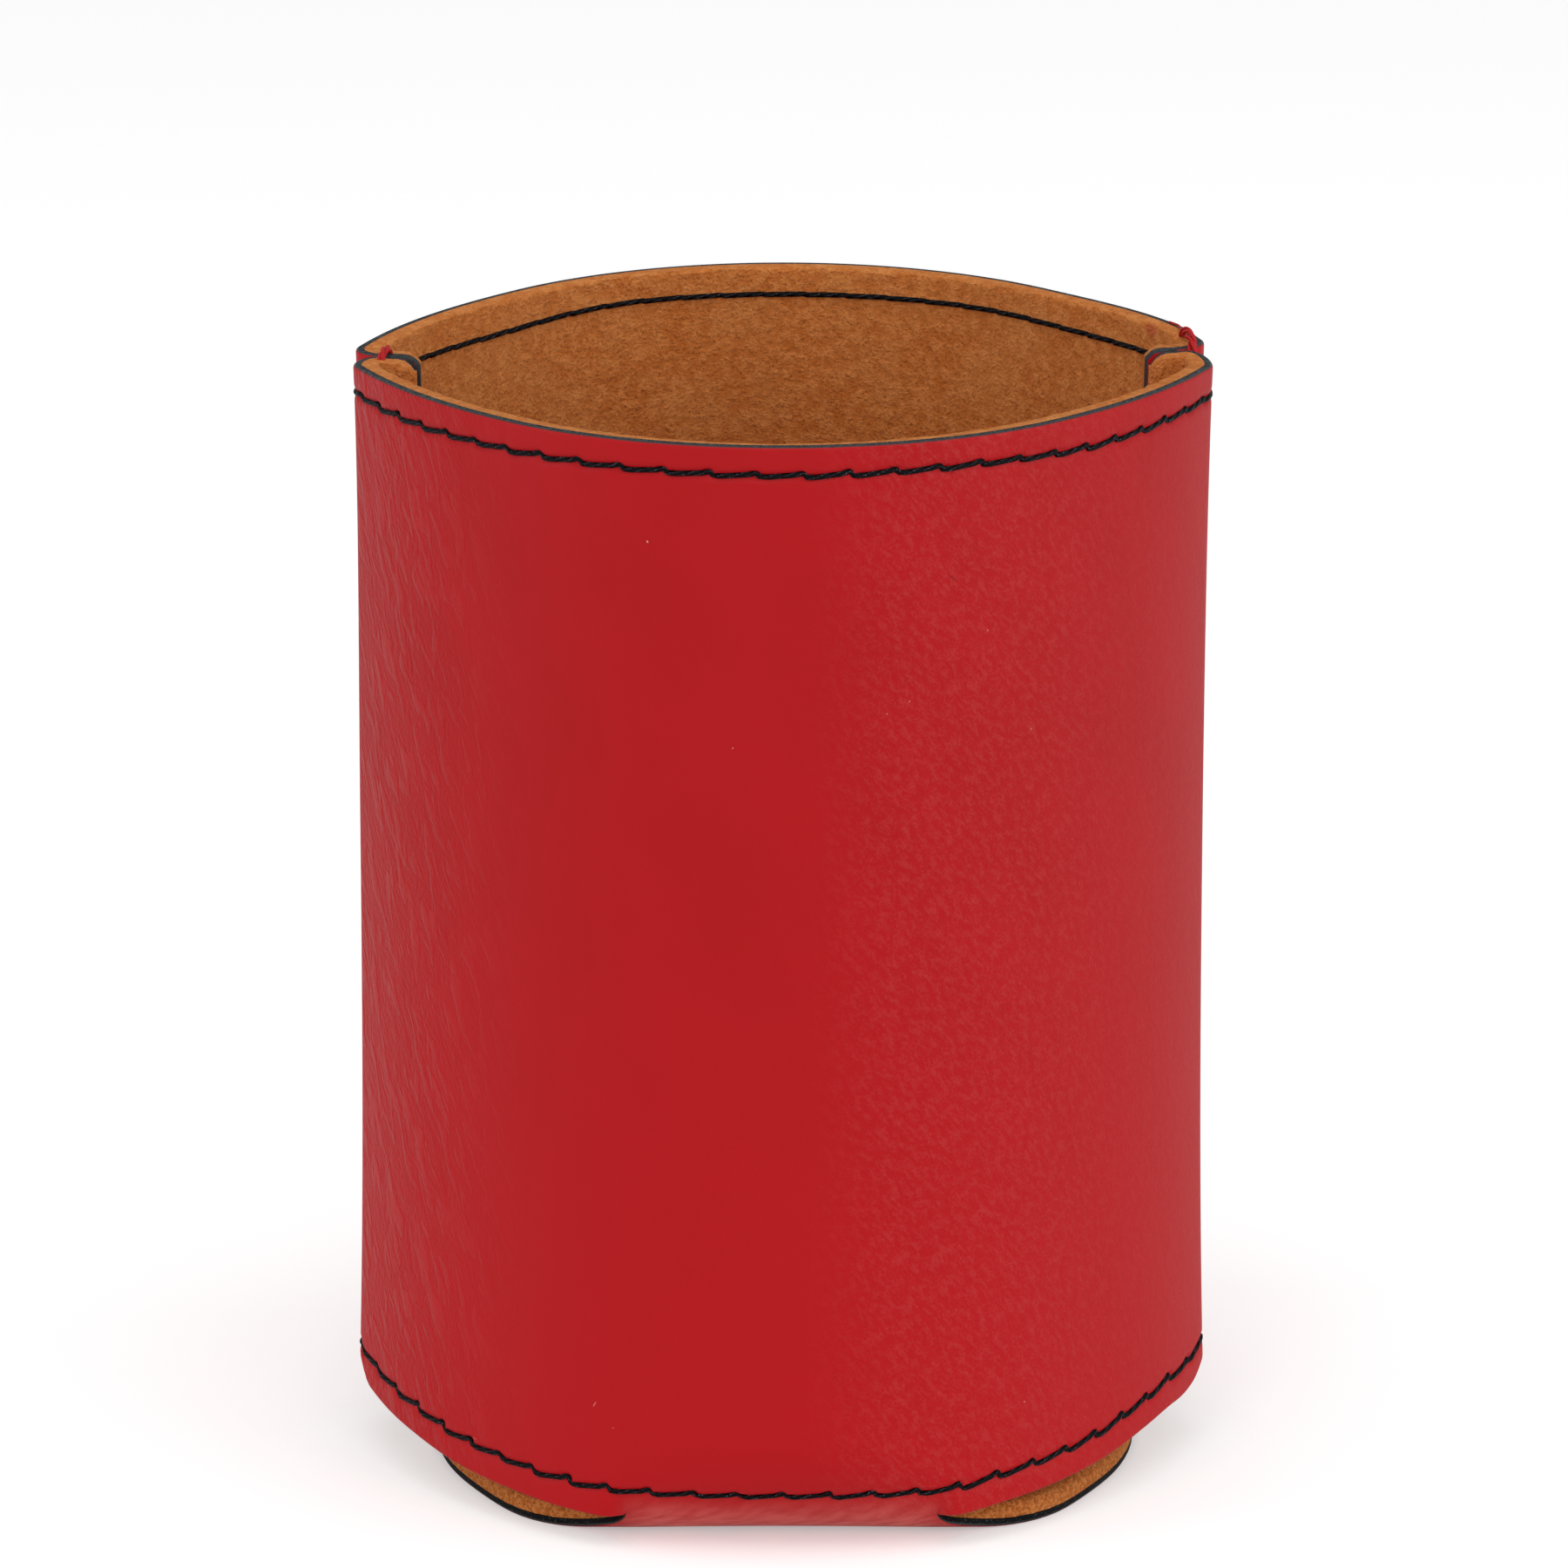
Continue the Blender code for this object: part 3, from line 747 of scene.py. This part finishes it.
# Each mark's place and half size on the strip in millimetres, its lean, strength and colour.
MARKS = (
    ((-12.3, 96.0), (0.09, 0.13), 30, 0.6, colour(226, 190, 180)),
    ((-4.4, 77.4), (0.09, 0.1), 0, 0.3, PALE_SPECK),
    ((19.3, 87.0), (0.09, 0.1), 0, 0.35, PALE_SPECK),
    ((11.6, 81.3), (0.06, 0.13), -25, 0.35, PALE_SPECK),
    ((24.3, 77.0), (0.09, 0.09), 0, 0.35, PALE_SPECK),
    ((9.5, 80.3), (0.08, 0.08), 0, 0.3, PALE_SPECK),
    ((24.1, 12.9), (0.09, 0.1), 0, 0.5, colour(220, 160, 150)),
    ((-32.6, 7.2), (0.3, 0.1), -8, 0.35, colour(214, 120, 112)),
    ((-15.9, 11.9), (0.07, 0.08), 0, 0.35, PALE_SPECK),
    ((15.7, 92.3), (0.06, 0.5), 50, 0.6, DARK_SPECK),
    ((-45.5, 47.4), (0.12, 0.14), 0, 0.7, DARK_SPECK),
    ((-17.8, 13.9), (0.07, 0.34), -30, 0.5, colour(226, 140, 136)),
)

leatherette, nodes = new_paint("leatherette_red")
cut = nodes.attribute("cut", "Vector")
edge = nodes.attribute("edge", "Fac")
across = nodes.part(cut, "X")
along = nodes.part(cut, "Y")


def grain(width, length, slant, detail=2.0, roughness=0.5, distortion=0.0):
    """Noise on the flat-cut strip, its marks of one width and length leaning by a slant."""
    placed = nodes.add("ShaderNodeMapping", {"vector_type": "TEXTURE"}, {
        "Vector": cut, "Rotation": (0, 0, math.radians(slant)), "Scale": (width, length, width),
    })
    return nodes.noise(placed, 1.0, detail, roughness, distortion)


# The grain is deep at the left, fine at the right, worn smooth in the middle and calm behind.
sideways = abs(across)
from_middle = abs(along - BACK_PANEL_START / 2)
front = nodes.ease(along, -20 * MM, 0.0) * (1 - BACK_GRAIN) + BACK_GRAIN
left = (1 - nodes.ease(across, *LEFT_GRAIN)) * front
right = nodes.ease(across, *RIGHT_GRAIN) * (1 - nodes.ease(across, *RIGHT_GRAIN_END) * 0.6)
right = right * front
ridges = grain(1.5 * MM, 4.6 * MM, slant=27, detail=1.3, roughness=0.45, distortion=0.7)
creases = grain(0.6 * MM, 1.3 * MM, slant=40, detail=3.5, roughness=0.62, distortion=0.15)
swells = grain(3.0 * MM, 7.0 * MM, slant=26)
pebbles = grain(0.42 * MM, 0.62 * MM, slant=25, roughness=0.6, distortion=0.4)
pores = grain(0.26 * MM, 0.3 * MM, slant=0, roughness=0.7)
furrows = 1 - nodes.ease(abs(ridges - 0.5), 0.0, 0.1)

# Each kind of grain with its depth, and how much of it shows at the left, at the right and all over.
kinds = (
    (ridges, 0.4, 0.94, 0.06, 0.02),
    (creases, 0.12, 0.35, 0.65, 0.05),
    (swells, 0.12, 1.0, 1.0, 0.0),
    (pores, 0.045, 1.0, 1.0, 0.2),
    (pebbles, 0.1, 1.0, 0.4, 0.0),
    (furrows, -0.055, 1.0, 0.0, 0.0),
)
relief = sum(
    kind * (left * at_left + right * at_right + all_over) * depth
    for kind, depth, at_left, at_right, all_over in kinds
)

# Painted sheen and painted light: the raised grain is painted paler where lamp gloss would catch it, the
# fold under the neck is painted a paler pink for the table's bounce light, and the skin is painted
# lighter towards the bottom for the same bounce.
tone = grain(9 * MM, 16 * MM, slant=25, detail=3.0)
wrinkles = grain(1.2 * MM, 3.4 * MM, slant=-58)
speckle = (pores - 0.5) * 0.35
# Painted sheen: raised grain at the right and left is painted paler where the side lamps' gloss would
# catch it.
painted_sheen_at_right = nodes.ease(creases + speckle * 2, 0.4, 0.74) * right
painted_sheen_at_left = nodes.ease(ridges + speckle + (pebbles - 0.5) * 0.6, 0.44, 0.74) * left
bounce_lit_fold = nodes.ease(from_middle, *BOUNCE_FOLD_START) * (1 - nodes.ease(from_middle, *BOUNCE_FOLD_END))
bounce_lit_fold = bounce_lit_fold * (1 - nodes.ease(sideways, *BOUNCE_FOLD_SIDES))
bounce_lit_fold = bounce_lit_fold * (nodes.ease(wrinkles, 0.3, 0.65) * 0.6 + 0.4)
layers = [
    # Painted light: the skin is painted lighter towards the bottom, standing in for bounce light from the
    # table.
    (1 - nodes.ease(from_middle, *PAINTED_BOUNCE_REACH), 0.8, PAINTED_BOUNCE_RED),
    (painted_sheen_at_right, 0.13, PAINTED_SHEEN_RIGHT),
    (painted_sheen_at_left, 0.09, PAINTED_SHEEN_LEFT),
    (bounce_lit_fold, 0.7, PAINTED_BOUNCE_PINK),
    (bounce_lit_fold * (1 - nodes.ease(from_middle, *BOUNCE_PALEST_END)), 0.8, PAINTED_BOUNCE_PALEST),
]
for place, size, lean, strength, shade in MARKS:
    off = nodes.add("ShaderNodeMapping", {"vector_type": "TEXTURE"}, {
        "Vector": cut, "Location": (place[0] * MM, place[1] * MM, 0),
        "Rotation": (0, 0, math.radians(lean)), "Scale": (size[0] * MM, size[1] * MM, 1),
    })
    layers.append((1 - nodes.ease(nodes.length(off), 0.6, 1.1), strength, shade))
red = nodes.layered(nodes.mixed(nodes.ease(tone, 0.3, 0.7), RED, WARM_RED), layers)

# The blade's black wraps a little round the cut, most on the flaps and not on the lower edges.
lower = nodes.ease(from_middle, *LOWER_EDGE_START) * (1 - nodes.ease(from_middle, *LOWER_EDGE_END))
flap = nodes.ease(sideways, *FLAP_FACE)
ragged = edge + (pores - 0.5) * BURNT_RAGGED - flap * BURNT_ON_FLAP
wrap = (1 - nodes.ease(ragged, *BURNT_REACH)) * (1 - lower)
burnt = nodes.mixed(grain(0.12 * MM, 0.5 * MM, slant=60), BURNT, BURNT_PALE)
bump = nodes.add("ShaderNodeBump", {}, {"Strength": 1.0, "Distance": 1.0 * MM, "Height": relief})
nodes.surface({
    "Base Color": nodes.mixed(wrap, red, burnt),
    "Roughness": 0.45,
    "Specular IOR Level": 0.12,
    "Sheen Weight": 0.08,
    "Sheen Roughness": 0.3,
    "Normal": bump,
})

CHAR_LOW = colour(2, 3, 5)
CHAR_HIGH = colour(14, 16, 18)
CHAR_FIBRE = colour(82, 90, 94)
CHAR_FINENESS = 4200.0
CHAR_PALER_FROM = (5 * MM, 14 * MM)
cut_edge, nodes = new_paint("leatherette_cut_edge")
place = nodes.add("ShaderNodeTexCoord", output="Object")
fibre = nodes.noise(place, CHAR_FINENESS, detail=3.0, roughness=0.6)
upper = nodes.ease(nodes.part(place, "Z"), *CHAR_PALER_FROM)
paler = nodes.ease(fibre, 0.56 - upper * 0.14, 0.68) * (upper * 0.5 + 0.5)
bump = nodes.add("ShaderNodeBump", {}, {"Strength": 0.8, "Distance": 0.12 * MM, "Height": fibre})
nodes.surface({
    "Base Color": nodes.mixed(paler, nodes.mixed(upper, CHAR_LOW, CHAR_HIGH), CHAR_FIBRE),
    "Roughness": 0.62,
    "Specular IOR Level": 0.15,
    "Normal": bump,
})


def rounded(edge, radius):
    """How far a worn cut corner falls away from the face, by the distance from the edge."""
    short = np.clip(radius - edge, 0, radius)
    return radius - np.sqrt(radius ** 2 - short ** 2)


skin = skin_sheet.closed(
    "leatherette_skin_dressed",
    rounded(skin_sheet.edge, CUT_ROUND) * CUT_FALL + skin_sheet.grooves,
    SKIN_THICKNESS + 0 * skin_sheet.edge,
    (leatherette, cut_edge),
)
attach(skin, "root")
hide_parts("leatherette_skin")

# Suede lining.
# A tan sueded sheet is glued behind the whole strip and cut with it, so its brushed edge stands
# beside the black one all round the mouth. Use has pressed it thin at the middle of the front
# and left a red stain inside the back panel near the right seam.
LINING_OVERLAP = 0.02 * MM
LINING_ROUND = 0.45 * MM
BOTTOM_ROUND = 1.1 * MM
LINING_FALL = 0.8
PRESSED = 0.65 * MM
PRESSED_REACH = 15 * MM
PRESSED_FROM = (97 * MM, 104 * MM)
FRAY = 0.16 * MM
FRAY_REACH = 0.4 * MM
STAIN_PLACE = (34.5 * MM, 12.5 * MM, 104.2 * MM)
STAIN_SIZE = (0.9 * MM, 3.0 * MM, 0.9 * MM)
TAN = colour(216, 122, 54)
TAN_LIGHT = colour(238, 150, 80)
TAN_DARK = colour(182, 96, 40)
TAN_CLOUD = colour(238, 162, 94)
BOTTOM_RIM_PAINTED_SHADE = colour(184, 88, 30)
BOTTOM_PAINTED_LIGHT = colour(244, 156, 82)
STAIN = colour(196, 70, 58)
NAP_FINENESS = 3000.0
BLOTCH_FINENESS = 900.0
CLOUD_FINENESS = 160.0
BOTTOM_RIM_HEIGHT = (3 * MM, 14 * MM)
BOTTOM_RIM_REACH = (29 * MM, 32.4 * MM)

NEAR_LINING_CUT = np.array((0, 0.12, 0.28, 0.5, 0.9, 1.5, 2.3, 3.4)) * MM
FROM_LINING_FLAP_END = np.array((2.5, 1.7, 1.1, 0.6, 0.2, 0)) * MM
lining_sheet = strip(
    (even(14), even(12), even(28), even(12), 1 - FROM_LINING_FLAP_END / FLAP_LENGTH[1]),
    bottom_steps=NEAR_LINING_CUT,
    middle_count=40,
    top_steps=NEAR_LINING_CUT,
    bottom_rows=(10, 30),
    rim_steps=(0, 0.01, 0.03, 0.08, 0.2, 0.4, 0.6, 0.8),
)
worn = np.where(lining_sheet.points[:, 2] < TABLE_FOLD_RADIUS, BOTTOM_ROUND, LINING_ROUND)
run, along = lining_sheet.cuts[:, 0], lining_sheet.cuts[:, 1]
pressed = PRESSED * np.exp(-(run / PRESSED_REACH) ** 2) * ease(along, *PRESSED_FROM)
draws = np.random.default_rng(5)
fray = draws.uniform(-1, 1, lining_sheet.count) * FRAY * np.exp(-lining_sheet.edge / FRAY_REACH)

suede, nodes = new_paint("suede_tan")
place = nodes.add("ShaderNodeTexCoord", output="Object")
nap = nodes.noise(place, NAP_FINENESS, detail=4.0, roughness=0.65)
blotch = nodes.noise(place, BLOTCH_FINENESS, detail=3.0, roughness=0.6)
cloud = nodes.noise(place, CLOUD_FINENESS)
low = 1 - nodes.ease(nodes.part(place, "Z"), *BOTTOM_RIM_HEIGHT)
rim = nodes.ease(nodes.length(place), *BOTTOM_RIM_REACH)
off = nodes.add("ShaderNodeMapping", {"vector_type": "TEXTURE"}, {
    "Vector": place, "Location": STAIN_PLACE, "Scale": STAIN_SIZE,
})
stained = 1 - nodes.ease(nodes.length(off) + (blotch - 0.5) * 1.2, 0.3, 1.0)
brushed = nodes.layered(nodes.mixed(nodes.ease(blotch, 0.35, 0.68), TAN, TAN_LIGHT), (
    (nodes.ease(nap, 0.5, 0.7), 0.85, TAN_DARK),
    (nodes.ease(cloud, 0.4, 0.7), 0.2, TAN_CLOUD),
    # Painted shade darkens the lining near the bottom's outer rim, and painted light brightens the lowest
    # lining between the raised nap, against the shade under the panels.
    (low * rim, 0.5, BOTTOM_RIM_PAINTED_SHADE),
    (low * (1 - nodes.ease(nap, 0.4, 0.54)), 0.8, BOTTOM_PAINTED_LIGHT),
    (stained, 0.5, STAIN),
))
bump = nodes.add("ShaderNodeBump", {}, {
    "Strength": 1.0, "Distance": 0.7 * MM, "Height": nap * 0.8 + blotch * 0.7,
})
nodes.surface({
    "Base Color": brushed,
    "Roughness": 0.95,
    "Specular IOR Level": 0.12,
    "Sheen Weight": 0.15,
    "Sheen Roughness": 0.5,
    "Sheen Tint": colour(240, 190, 130),
    "Normal": bump,
})
lining = lining_sheet.closed(
    "lining_dressed",
    SKIN_THICKNESS - LINING_OVERLAP + 0 * lining_sheet.edge,
    LAMINATE - rounded(lining_sheet.edge, worn) * LINING_FALL - pressed + fray,
    (suede,),
)
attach(lining, "root")
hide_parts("lining")

# Edge stitching.
# Waxed black three-ply thread, lockstitched by machine along the top and bottom edges of both
# panels: each stitch lies in its groove, climbs to a hook and drops into the next hole, and the
# lower thread shows as straight stitches on the lining.
THREAD = 0.5 * MM
THREAD_SINK = 0.13 * MM
FOLD_SINK = 0.08 * MM
FOLD_SINK_FROM = 0.93
STITCH_DIP = 0.17 * MM
DIP_SHARES = ((0.0, 0.16), (0.88, 1.0))
INNER_RISE = 0.1 * MM
INNER_SWING = 0.15
PLIES = 3
PLY_TURN = 1.5 * MM
RING_SIDES = 12
FUZZ_FINENESS = 9000.0
PATH_STEP = 0.17 * MM
PHASE_LEAD = 100 * STITCH_PITCH
BLACK = colour(2, 2, 4)
BLACK_PAINTED_GLINT = colour(92, 100, 114)


def thread_tree():
    """Sweeps a twisted thread along a path, which dips into the sheet at each stitch hole."""
    group = bpy.data.node_groups.new("sewn_thread", "GeometryNodeTree")
    sockets = {}
    for name, kind in (("Path", "Geometry"), ("Thread", "Float"), ("Pitch", "Float"), ("Rise", "Float"),
                       ("Dip", "Float"), ("Finish", "Material")):
        socket = group.interface.new_socket(name, in_out="INPUT", socket_type=f"NodeSocket{kind}")
        sockets[name] = socket.identifier
    group.interface.new_socket("Thread mesh", in_out="OUTPUT", socket_type="NodeSocketGeometry")
    tree = Recipe(group)
    size = {name: tree.add("NodeGroupInput", output=name) for name in sockets}

    def path_value(name, kind="FLOAT"):
        return tree.add("GeometryNodeInputNamedAttribute", {"data_type": kind}, {"Name": name})

    run, swing, sewn, girth = [path_value(name) for name in ("run", "swing", "sewn", "girth")]
    out = path_value("out", "FLOAT_VECTOR")
    phase = (run / size["Pitch"]).maths("FRACT")
    climb = sum(tree.ease(phase, start, end) * share for share, start, end in STITCH_CLIMB) - 0.5
    leaving, entering = [tree.ease(phase, *shares) for shares in DIP_SHARES]
    dip = 1 - leaving + entering
    line = tree.add("GeometryNodeMeshToCurve", {}, {"Mesh": size["Path"]})
    along = tree.add("GeometryNodeInputTangent")
    up = tree.add("ShaderNodeVectorMath", {"operation": "CROSS_PRODUCT"}, {0: out, 1: along})
    rise = climb * swing * size["Rise"]
    raised = tree.add("ShaderNodeVectorMath", {"operation": "SCALE"}, {0: up, "Scale": rise})
    depth = dip * sewn * size["Dip"] * -1
    sunk = tree.add("ShaderNodeVectorMath", {"operation": "SCALE"}, {0: out, "Scale": depth})
    moved = tree.add("ShaderNodeVectorMath", {"operation": "ADD"}, {0: raised, 1: sunk})
    line = tree.add("GeometryNodeSetPosition", {}, {"Geometry": line, "Offset": moved})
    ring = tree.add("GeometryNodeCurvePrimitiveCircle", {"mode": "RADIUS"},
                    {"Resolution": RING_SIDES, "Radius": size["Thread"] * 0.5})
    turn = tree.add("GeometryNodeInputIndex") * (2 * math.pi * PLIES / RING_SIDES)
    ply = tree.add("ShaderNodeCombineXYZ", {}, {"X": turn.maths("COSINE"), "Y": turn.maths("SINE")})
    ring = tree.add("GeometryNodeStoreNamedAttribute", {"data_type": "FLOAT_VECTOR", "domain": "POINT"},
                    {"Geometry": ring, "Name": "ply", "Value": ply})
    inputs = {"Curve": line, "Profile Curve": ring, "Scale": girth, "Fill Caps": True}
    swept = tree.add("GeometryNodeCurveToMesh", {}, inputs)
    swept = tree.add("GeometryNodeRealizeInstances", {}, {"Geometry": swept})
    swept = tree.add("GeometryNodeSetShadeSmooth", {}, {"Geometry": swept})
    swept = tree.add("GeometryNodeSetMaterial", {}, {"Geometry": swept, "Material": size["Finish"]})
    tree.add("NodeGroupOutput", {}, {0: swept})
    return group, sockets


thread_group, thread_sockets = thread_tree()


def thread_finish(name, dark, glint, roughness, level):
    """Three plies wound together, with a fine fuzz over them; pale painted glints lie along the plies
    where the fuzz is high.
    """
    finish, nodes = new_paint(name)
    plies = nodes.attribute("ply", "Vector")
    turn = nodes.attribute("run", "Fac") * (2 * math.pi / PLY_TURN)
    strand = nodes.part(plies, "X") * turn.maths("COSINE") - nodes.part(plies, "Y") * turn.maths("SINE")
    fuzz = nodes.noise(nodes.add("ShaderNodeTexCoord", output="Object"), FUZZ_FINENESS)
    tone = nodes.ease(strand, 0.0, 0.9) * nodes.ease(fuzz, 0.52, 0.7)
    bump = nodes.add("ShaderNodeBump", {}, {"Distance": 0.1 * MM, "Height": strand * 0.5 + fuzz * 0.35})
    nodes.surface({
        "Base Color": nodes.mixed(tone, dark, glint),
        "Roughness": roughness,
        "Specular IOR Level": level,
        "Normal": bump,
    })
    return finish


def thread_piece(name, paths, thread, rise, finish):
    """Paths hold points, outward vectors, runs, swings, girths and whether they are sewn."""
    mesh = bpy.data.meshes.new(name)
    points = np.concatenate([path["points"] for path in paths])
    edges, start = [], 0
    for path in paths:
        count = len(path["points"])
        edges += [(start + i, start + i + 1) for i in range(count - 1)]
        start += count
    mesh.from_pydata(points, edges, [])
    for key in ("out", "run", "swing", "sewn", "girth"):
        kind, field = ("FLOAT_VECTOR", "vector") if key == "out" else ("FLOAT", "value")
        values = np.concatenate([path[key] for path in paths]).astype(np.float32)
        mesh.attributes.new(key, kind, "POINT").data.foreach_set(field, values.ravel())
    piece = added(name, mesh)
    sewing = piece.modifiers.new("sewing", "NODES")
    sewing.node_group = thread_group
    values = {"Thread": thread, "Pitch": STITCH_PITCH, "Rise": rise, "Dip": STITCH_DIP, "Finish": finish}
    for key, value in values.items():
        sewing[thread_sockets[key]] = value
    graph = bpy.context.evaluated_depsgraph_get()
    piece.data = bpy.data.meshes.new_from_object(piece.evaluated_get(graph), depsgraph=graph)
    piece.modifiers.clear()
    return piece


black_thread = thread_finish("thread_black", BLACK, BLACK_PAINTED_GLINT, 0.5, 0.1)
row_end = float(Section(LOWER_EDGE).fold_start + Section(LOWER_EDGE).flap_start) / 2
for row in ("top", "bottom"):
    for name, side in (("front", 1), ("back", -1)):
        run = np.arange(-row_end, row_end, PATH_STEP)
        height = stitch_height(run, row)
        point, normal = face_point(run, height, side)
        sink = THREAD_SINK + FOLD_SINK * ease(np.abs(run), FOLD_SINK_FROM * row_end, row_end)
        outer = {
            "points": point - normal * sink[:, None],
            "out": normal,
            "run": run - STITCH_START[row] + PHASE_LEAD,
            "swing": stitch_swing(run, row),
            "sewn": 1 + 0 * run,
            "girth": 1 + 0 * run,
        }
        inner = dict(outer)
        inner["points"] = point - normal * (LAMINATE + INNER_RISE)
        inner["out"] = -normal
        inner["swing"] = INNER_SWING + 0 * run
        piece = thread_piece(
            f"{row}_stitch_{name}_dressed", (outer, inner), THREAD, STITCH_RISE[row], black_thread,
        )
        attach(piece, "root")
        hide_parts(f"{row}_stitch_{name}")

# Side seam threads.
# Red thread closes each side seam by hand: stitches down the lining of both flaps, and a few
# turns drawn tight over the top edges and knotted, with a loose tail on the right.
SEAM_THREAD = 0.36 * MM
SEAM_SWING = 0.1
SEAM_START = 4 * MM
SEAM_TOP = 102.5 * MM
SEAM_INSET = 0.5 * MM
SEAM_RISE = 0.08 * MM
FLAP_RUN = 58.9 * MM
KNOT_STRANDS = 3
KNOT_POINTS = 60
KNOT_HEIGHT = 105.0
KNOT_DROP = 1.9
TAIL_GIRTH = 0.6
TAIL_STEP = 0.18 * MM
TAIL = ((36.05, 12.6, 104.9), (36.85, 10.3, 105.1), (37.0, 8.0, 105.1), (37.1, 6.0, 105.2))
BRIGHT_RED = colour(184, 14, 22)
RED_PAINTED_GLINT = colour(232, 62, 62)


def smooth_path(spots, girth=1.0):
    """A free thread through a few spots in millimetres."""
    spots = np.array(spots, float) * MM
    padded = np.vstack([2 * spots[0] - spots[1], spots, 2 * spots[-1] - spots[-2]])
    points = []
    for i in range(1, len(padded) - 2):
        a, b, c, d = padded[i - 1:i + 3]
        steps = max(3, int(np.linalg.norm(c - b) / TAIL_STEP))
        for t in np.arange(steps) / steps:
            points.append(0.5 * (2 * b + (c - a) * t + (2 * a - 5 * b + 4 * c - d) * t ** 2
                                 + (3 * b - a - 3 * c + d) * t ** 3))
    points = np.array(points + [spots[-1]])
    run = np.concatenate([[0], np.cumsum(np.linalg.norm(np.diff(points, axis=0), axis=1))])
    zero = 0 * run
    return {
        "points": points,
        "out": zero[:, None] + np.array((0, 0, 1)),
        "run": run,
        "swing": zero,
        "sewn": zero,
        "girth": zero + girth,
    }


def bundle(x, y, lean, gap, reach, turns, hump):
    """A few strands twisted together over the seam's top, their ends drawn into the flaps."""
    share = np.linspace(0, 1, KNOT_POINTS)
    end = np.abs(2 * share - 1) ** 3
    strands = []
    for strand in range(KNOT_STRANDS):
        angle = 2 * math.pi * (turns * share + strand / KNOT_STRANDS)
        across = x + lean * (share - 0.5) + gap * np.cos(angle)
        depth = y + reach * (2 * share - 1)
        height = KNOT_HEIGHT + hump + gap * np.sin(angle) - (hump + KNOT_DROP) * end
        strands.append(smooth_path(np.stack([across, depth, height], -1)))
    return strands


red_thread = thread_finish("thread_red", BRIGHT_RED, RED_PAINTED_GLINT, 0.55, 0.3)
for name, side, knot in (
    ("left", -1, bundle(-36.4, 1.0, lean=0.9, gap=0.22, reach=1.9, turns=0.8, hump=0.1)),
    ("right", 1, bundle(37.5, 5.6, lean=-1.0, gap=0.3, reach=3.1, turns=1.5, hump=0.55)),
):
    paths = list(knot)
    seam_z = np.arange(lower_edge(side * FLAP_RUN) + SEAM_START, SEAM_TOP, PATH_STEP)
    push = SEAM_PUSH[side] * ease(seam_z, SETTLED_FROM, HEIGHT)
    zero = 0 * seam_z
    for face in (-1, 1):
        x = side * (half_width(seam_z) - SIDE_FOLD_RADIUS - SEAM_INSET)
        y = face * (SEAM_GAP / 2 + LAMINATE + SEAM_RISE) + push
        paths.append({
            "points": np.stack([x, y, seam_z], -1),
            "out": np.stack([zero, zero + face, zero], -1),
            "run": seam_z,
            "swing": zero + SEAM_SWING,
            "sewn": zero + 1,
            "girth": zero + 1,
        })
    if side > 0:
        paths.append(smooth_path(TAIL, TAIL_GIRTH))
    piece = thread_piece(f"seam_thread_{name}_dressed", paths, SEAM_THREAD, 0.0, red_thread)
    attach(piece, "root")
    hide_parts(f"seam_thread_{name}")
